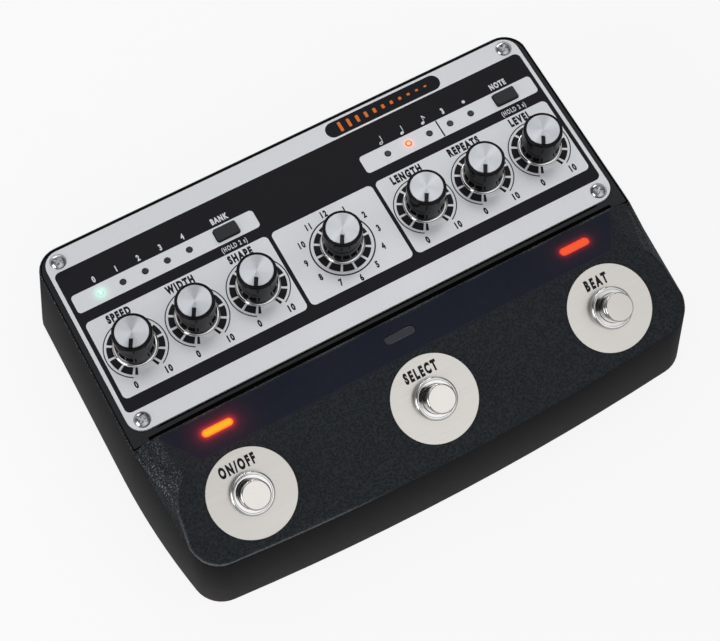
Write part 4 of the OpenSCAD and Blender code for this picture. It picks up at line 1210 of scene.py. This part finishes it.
@dataclass
class Knobs:
    """Seven knobs: gloss body with a pointer, turned cap and chrome ring.

    Attributes:
        dresser: Gives finishes.
        names: Name of each control, from left to right.
        xs: Place of each control, in mm.
        row_y: Row of the knobs, in mm.
        foot_z: Bottom of a knob's skirt, in mm.
        top_z: Top of a knob, in mm.
        pointer_deg: Direction of the pointer at rest.
        pointer_half: Half the width of the pointer, in mm.
        smooth_deg: Turn above which an edge of a knob stays sharp.
        cap_edge: Rounding of a cap, in mm.
        ring: Radius of each point of a chrome ring, and its height over the plate, in mm.
    """

    dresser: Dresser
    names: tuple[str, ...] = ("rate", "depth", "variation", "mode", "time", "intensity", "volume")
    xs: tuple[float, ...] = (-75.0, -53.0, -31.0, 0.0, 31.0, 53.0, 75.0)
    row_y: float = 15.9
    foot_z: float = 41.3
    top_z: float = 52.0
    pointer_deg: float = 240.0
    pointer_half: float = 0.6
    smooth_deg: float = 50.0
    cap_edge: float = 0.12
    ring: tuple[Point, ...] = (
        *((5.1, 2.1), (5.1, 0.0), (7.45, 0.0), (7.58, 0.08), (7.6, 0.3), (7.57, 0.9)),
        *((7.5, 1.35), (7.38, 1.68), (7.2, 1.92), (6.98, 2.06), (6.7, 2.1), (5.1, 2.1)),
    )

    def build(self) -> None:
        """Makes the knobs and the rings that they stand in."""
        for name, x in zip(self.names, self.xs):
            self._knob(name, x)
            metal = TurnedCap(f"turned aluminium cap {name}", (x, self.row_y))
            self.dresser.soften(f"{name}_cap", self.cap_edge, metal)
            self.dresser.paint(f"{name}_shaft")
        self._rings()

    def _knob(self, name: str, x: float) -> None:
        """Makes one knob's body with its rim and its pointer.

        Args:
            name: Name of the control.
            x: Place of the control, in mm.
        """
        seat, rim, foot = self.top_z - 0.9, self.top_z - 0.2, self.foot_z
        bore, hub = foot + 7.2, PLATE_Z + 0.6
        side = [(6.7 - 0.2 * t, foot + 0.3 + (rim - foot - 0.9) * t) for t in (0, 0.5, 1)]
        profile = [(0, bore), (3.05, bore), (3.05, hub), (4.8, hub), (4.8, foot)]
        profile += [(6.55, foot), (6.68, foot + 0.1), *side, (6.48, rim - 0.3), (6.36, rim - 0.1), (6.15, rim)]
        profile += [(5.62, rim), (5.53, rim - 0.06), (5.5, seat), (0, seat)]
        bm = bmesh.new()
        lathe(bm, profile, (x, self.row_y), turns=120)
        self._pointer(bm, x, seat)
        mesh = turned(bm, f"{name}_knob_body", self.smooth_deg)
        piece(f"{name}_knob_moulded", mesh, f"{name}_control", FINISHES["knob_black"], [f"{name}_knob"])

    def _pointer(self, bm: BMesh, x: float, seat: float) -> None:
        """Adds the pointer, a bar with a round inner end that lies in the cap's slot.

        Args:
            bm: Mesh of the knob.
            x: Place of the control, in mm.
            seat: Height that the cap sits at, in mm.
        """
        half = self.pointer_half
        outline = arc((2.4 + half, 0), half, 90, 270, 8) + [(5.53, -half), (5.53, half)]
        at = Matrix.Translation((x * MM, self.row_y * MM, 0))
        turn = at @ Matrix.Rotation(math.radians(self.pointer_deg), 4, "Z")
        low, high = (
            [bm.verts.new(turn @ Vector((u * MM, v * MM, z * MM))) for u, v in outline]
            for z in (seat - 0.02, seat + 0.87)
        )
        bm.faces.new(low)
        bm.faces.new(high)
        for k in range(len(low)):
            after = (k + 1) % len(low)
            bm.faces.new((low[k], low[after], high[after], high[k]))

    def _rings(self) -> None:
        """Makes the chrome rings with their round shoulder."""
        bm = bmesh.new()
        for x in self.xs:
            lathe(bm, [(radius, PLATE_Z + height) for radius, height in self.ring], (x, self.row_y))
        mesh = turned(bm, "knob_rings_turned")
        piece("knob_rings_turned", mesh, "case", FINISHES["ring_chrome"], ["knob_rings"])


@dataclass
class Lamps:
    """Status lamps in the strip, lamps in the panel, and the two keys beside them.

    Attributes:
        dresser: Gives finishes.
        lens_edge: Rounding of a status lens, in mm.
        led_edge: Rounding of a lamp in the panel, in mm.
        key_edge: Rounding of a key, in mm.
    """

    dresser: Dresser
    lens_edge: float = 0.35
    led_edge: float = 0.25
    key_edge: float = 0.3

    def build(self) -> None:
        """Dresses lenses, lamps and keys."""
        lenses = {
            "left": LensGlow("acrylic lens, lit amber", "#f9b50e", "#f98010", "#d02c0a", LEFT_LENS),
            # The unlit lens's near black rim is painted shade of the gap round it in its slot
            "centre": LensGlow("smoked acrylic lens, unlit", "#3c3f44", "#383b40", "#060608", CENTRE_LENS, lit=False),
            "right": LensGlow("acrylic lens, lit red", "#f45526", "#f04c20", "#b81c0c", RIGHT_LENS),
        }
        leds = {
            "green": LensGlow("clear lamp, lit green", "#f6fffb", "#d2f8e6", "#8ce8c2", GREEN_LED),
            "orange": LensGlow("clear lamp, lit orange", "#ffd9a0", "#ff8a26", "#e04a00", ORANGE_LED),
        }
        for side, lens in lenses.items():
            self.dresser.soften(f"status_lens_{side}", self.lens_edge, lens)
        for colour, led in leds.items():
            self.dresser.soften(f"panel_led_{colour}", self.led_edge, led)
        self.dresser.soften("panel_leds_unlit", self.led_edge)
        for key in ("memory", "division"):
            self.dresser.soften(f"{key}_button", self.key_edge)


@dataclass
class FootSwitches:
    """Three footswitches with their label discs.

    Attributes:
        dresser: Gives finishes.
        names: Name of each switch.
        xs: Place of each switch, in mm.
        labels: Generic word on each disc, and how far its letters are spread.
        deck_point: Place of the row on the deck, from front to rear and up, in mm.
        tilt_deg: Slope of the deck.
        disc_mm: Thickness of a disc.
        ink_mm: Thickness of the ink on a disc.
        travel_mm: How far a button goes down; not used.
        spring_mm: Half the room that a spring takes up.
        disc_edge: Rounding of a disc, in mm.
        bushing_edge: Rounding of a bushing, in mm.
        button_edge: Rounding of a button, in mm.
        collar: Radius of each point of a collar, and its height over the disc, in mm.
    """

    dresser: Dresser
    names: tuple[str, ...] = ("effect", "memory", "tap")
    xs: tuple[float, ...] = SWITCH_XS
    labels: tuple[tuple[str, float], ...] = (("ON/OFF", 1.42), ("SELECT", 1.45), ("BEAT", 1.5))
    deck_point: Point = (-44.7, 38.365)
    tilt_deg: float = 23.5
    disc_mm: float = 0.6
    ink_mm: float = 0.024
    travel_mm: float = 2.5
    spring_mm: float = 12.0
    disc_edge: float = 0.12
    bushing_edge: float = 0.1
    button_edge: float = 0.2
    collar: tuple[Point, ...] = (
        *((6.08, 3.2), (6.08, 0.0), (6.95, 0.0), (7.08, 0.06), (7.1, 0.2), (7.02, 2.3)),
        *((6.96, 2.62), (6.82, 2.92), (6.6, 3.12), (6.3, 3.2), (6.08, 3.2)),
    )

    def build(self) -> None:
        """Dresses the switches and prints their discs."""
        self.dresser.soften("switch_discs", self.disc_edge)
        self._collars()
        self.dresser.soften("switch_bushings", self.bushing_edge, FINISHES["ring_chrome"])
        for name in self.names:
            self.dresser.soften(f"{name}_plunger", self.button_edge, BUTTON_NICKEL)
        self._springs()
        for x, (label, spread) in zip(self.xs, self.labels):
            art = Artwork(f"disc_print_{label.lower().replace('/', '_')}")
            art.words.append(Word(label, (-0.4, 9.75), 3.35, narrow=0.57, weight=0.066, spread=spread))
            piece(art.name, art.mesh(self._on_disc(x, 0.01), self.ink_mm), "case", INK_BLACK)

    def _springs(self) -> None:
        """Parts the return springs into one piece for each button, each with its own mesh."""
        slot = self.dresser.slot_of("switch_springs")
        for name, x in zip(self.names, self.xs):
            bm = self.dresser.copied("switch_springs")
            others = [v for v in bm.verts if abs(v.co.x - x * MM) > self.spring_mm * MM]
            bmesh.ops.delete(bm, geom=others, context="VERTS")
            mesh = shaded(bm, f"{name}_spring")
            coil = piece(f"{name}_spring", mesh, "case", FINISHES[slot], ["switch_springs"])
            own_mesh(coil)

    def _on_disc(self, x: float, lift_mm: float) -> Matrix:
        """Matrix from a flat layer to the top of a disc, lifted by that much."""
        at = Matrix.Translation((x * MM, self.deck_point[0] * MM, self.deck_point[1] * MM))
        lift = Matrix.Translation((0, 0, (self.disc_mm + lift_mm) * MM))
        return at @ Matrix.Rotation(math.radians(self.tilt_deg), 4, "X") @ lift

    def _collars(self) -> None:
        """Turns the collars: a polished wall that mirrors the disc, and a round shoulder."""
        bm = bmesh.new()
        for x in self.xs:
            points = lathe(bm, self.collar)
            bmesh.ops.transform(bm, matrix=self._on_disc(x, 0.0), verts=points)
        mesh = turned(bm, "switch_collars_turned")
        slot = self.dresser.slot_of("switch_collars")
        piece("switch_collars_turned", mesh, "case", FINISHES["ring_chrome"], ["switch_collars"])


@dataclass
class Sockets:
    """Sockets in the rear wall, and what is inside the case.

    Attributes:
        dresser: Gives finishes.
        edges: Width of the rounding on each solid, in mm.
        inside: Solids inside the case.
    """

    dresser: Dresser
    edges: tuple[tuple[str, float], ...] = (
        ("phone_jacks", 0.2),
        ("phone_jack_nuts", 0.25),
        ("mini_jacks", 0.2),
        ("power_inlet", 0.2),
    )
    inside: tuple[str, ...] = (
        *("status_leds", "status_board", "panel_board", "main_board", "board_spacers", "board_screws"),
        *("control_bodies", "switch_housings", "switch_board", "tact_switches", "delay_chips", "ribbon_cable"),
    )

    def build(self) -> None:
        """Dresses the sockets with soft edges and paints the inside."""
        for node, edge in self.edges:
            self.dresser.soften(node, edge)
        for node in self.inside:
            self.dresser.paint(node)


@dataclass(frozen=True)
class Softbox:
    """A softbox that faces the part.

    Attributes:
        name: Name of the lamp.
        place: Where it hangs, in metres.
        wide: Its width, in metres.
        high: Its height, in metres.
        radiance: Brightness of its face.
    """

    name: str
    place: Triple
    wide: float
    high: float
    radiance: float

    # Point that every softbox faces, in metres
    AIM = (0, 0, 0.03)

    def hang(self) -> None:
        """Puts the lamp into the scene, facing the part."""
        data = bpy.data.lights.new(self.name, "AREA")
        data.shape = "RECTANGLE"
        data.size, data.size_y = self.wide, self.high
        data.energy = math.pi * self.wide * self.high * self.radiance
        lamp = placed(self.name, data)
        lamp.location = self.place
        lamp.rotation_mode = "QUATERNION"
        lamp.rotation_quaternion = (Vector(self.AIM) - Vector(self.place)).to_track_quat("-Z", "Y")


@dataclass
class Studio:
    """Pale floor, soft lights and the camera.

    Attributes:
        eye_mm: Place of the camera.
        right: Direction to the right of the picture.
        down: Direction down the picture.
        forward: Direction of view.
        sensor_mm: Width of the sensor.
        lens_mm: Focal length.
        half_mm: Half the unit's width and depth on the floor.
        lights: The softboxes.
    """

    eye_mm: Triple = (-123.0, -209.85, 585.16)
    right: Triple = (0.87631, -0.48169, 0.00874)
    down: Triple = (-0.44086, -0.80907, -0.38869)
    forward: Triple = (0.19429, 0.33675, -0.92133)
    sensor_mm: float = 36.0
    lens_mm: float = 92.32
    half_mm: Point = (96.0, 66.0)
    lights: tuple[Softbox, ...] = (
        Softbox("deck softbox", (0.12, -0.62, 0.80), 0.50, 0.50, 0.32),
        Softbox("plate softbox", (0.25, 0.38, 0.90), 0.22, 0.24, 1.1),
        Softbox("left softbox", (-1.05, -0.12, 0.56), 0.7, 0.5, 4.3),
        Softbox("rear strip", (0.10, 1.25, 0.30), 1.0, 0.2, 6.0),
    )

    def build(self) -> None:
        """Sets up the floor, the lights and the camera."""
        self._camera()
        self._floor()
        self._world()
        for light in self.lights:
            light.hang()
        bpy.context.scene.view_settings.view_transform = "Standard"

    def _camera(self) -> None:
        """Places the camera where the picture was taken from."""
        data = bpy.data.cameras.new("camera")
        data.sensor_width = self.sensor_mm
        data.lens = self.lens_mm
        data.clip_start, data.clip_end = 0.01, 20.0
        axes = Matrix((self.right, [-c for c in self.down], [-c for c in self.forward])).transposed()
        turn = axes.to_quaternion().to_matrix().to_4x4()
        camera = placed("camera", data)
        camera.matrix_world = Matrix.Translation(Vector(self.eye_mm) * MM) @ turn
        bpy.context.scene.camera = camera

    def _floor(self) -> None:
        """Lays a wide pale floor that keeps a faint shadow; close round the unit, gloss sees it dark, as painted shade.
        """
        bm = bmesh.new()
        bmesh.ops.create_grid(bm, x_segments=8, y_segments=8, size=6.0)
        floor = placed("floor", to_mesh(bm, "floor"))
        made = bpy.data.materials.new("pale paper sweep")
        tree = emptied(made)
        place = add(tree, "TexCoord", out="Object")
        away = add(tree, "VectorMath", (place,), operation="ABSOLUTE")
        away = add(tree, "VectorMath", (away, Vector((*self.half_mm, 0)) * MM), operation="SUBTRACT")
        spot = add(tree, "SeparateXYZ", (away,)).node.outputs
        away = add(tree, "Math", (spot["X"], spot["Y"]), operation="MAXIMUM")
        # Painted shade: close round the unit, reflections see the darker floor
        white = seen(tree, add(tree, "MapRange", (away, 0.03, 0.2)))
        fibre = add(tree, "TexNoise", {"Vector": place, "Scale": per_metre(3.0), "Detail": 2.0})
        paper = add(tree, "BsdfDiffuse", (layered(tree, "#818181", (fibre, "#868686"), (white, "#f6f6f6")),))
        light = add(tree, "Emission", ("#fefefe", 1.0))
        add(tree, "OutputMaterial", (add(tree, "MixShader", (product(tree, white, 0.87), paper, light)),))
        floor.data.materials.append(made)

    def _world(self) -> None:
        """Fills the room with soft light from above, dark low down, at both sides, at the rear and round the camera."""
        world = bpy.data.worlds.new("white room")
        bpy.context.scene.world = world
        tree = emptied(world)
        direction = add(tree, "TexCoord", out="Generated")
        axes = add(tree, "SeparateXYZ", (direction,)).node.outputs
        aside = add(tree, "Math", (axes["X"], 0.12), operation="SUBTRACT")
        aside = add(tree, "Math", (aside,), operation="ABSOLUTE")
        rear = add(tree, "VectorMath", (direction, (0.19, 0.78, 0.6)), "Value", operation="DOT_PRODUCT")
        above = add(tree, "VectorMath", (direction, (-0.12, -0.2, 0.972)), "Value", operation="DOT_PRODUCT")
        screen, low, rear, above = (
            add(tree, "MapRange", span)
            for span in ((aside, 0.38, 0.7), (axes["Z"], 0.5, 0.15), (rear, 0.87, 0.97), (above, 0.945, 0.972))
        )
        for other in (low, rear):
            screen = add(tree, "Math", (screen, other), operation="MAXIMUM")
        dim, dark = (0.13, 0.13, 0.14, 1), (0.03, 0.03, 0.03, 1)
        room = add(tree, "Background", (layered(tree, (0.96, 0.96, 0.97, 1), (screen, dim), (above, dark)), 1.0))
        pale = add(tree, "Background", ("#f8f8f8", 1.0))
        level = add(tree, "Math", (axes["Z"], 0.08), operation="LESS_THAN")
        add(tree, "OutputWorld", (add(tree, "MixShader", (seen(tree, level), room, pale)),))


def main() -> None:
    """Dresses the part and sets up the studio."""
    logging.basicConfig(level=logging.INFO, format="%(name)s: %(message)s")
    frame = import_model()
    bodies = {node: body for body, nodes in frame["record"]["behaviour"]["bodies"].items() for node in nodes}
    dresser = Dresser(frame["nodes"], bodies)
    parts = [Studio(), Case(dresser), PanelPrint(), Knobs(dresser)]
    parts += [Lamps(dresser), FootSwitches(dresser), Sockets(dresser)]
    for part in parts:
        part.build()
        log.info("%s built", type(part).__name__)


if __name__ == "__main__":
    main()
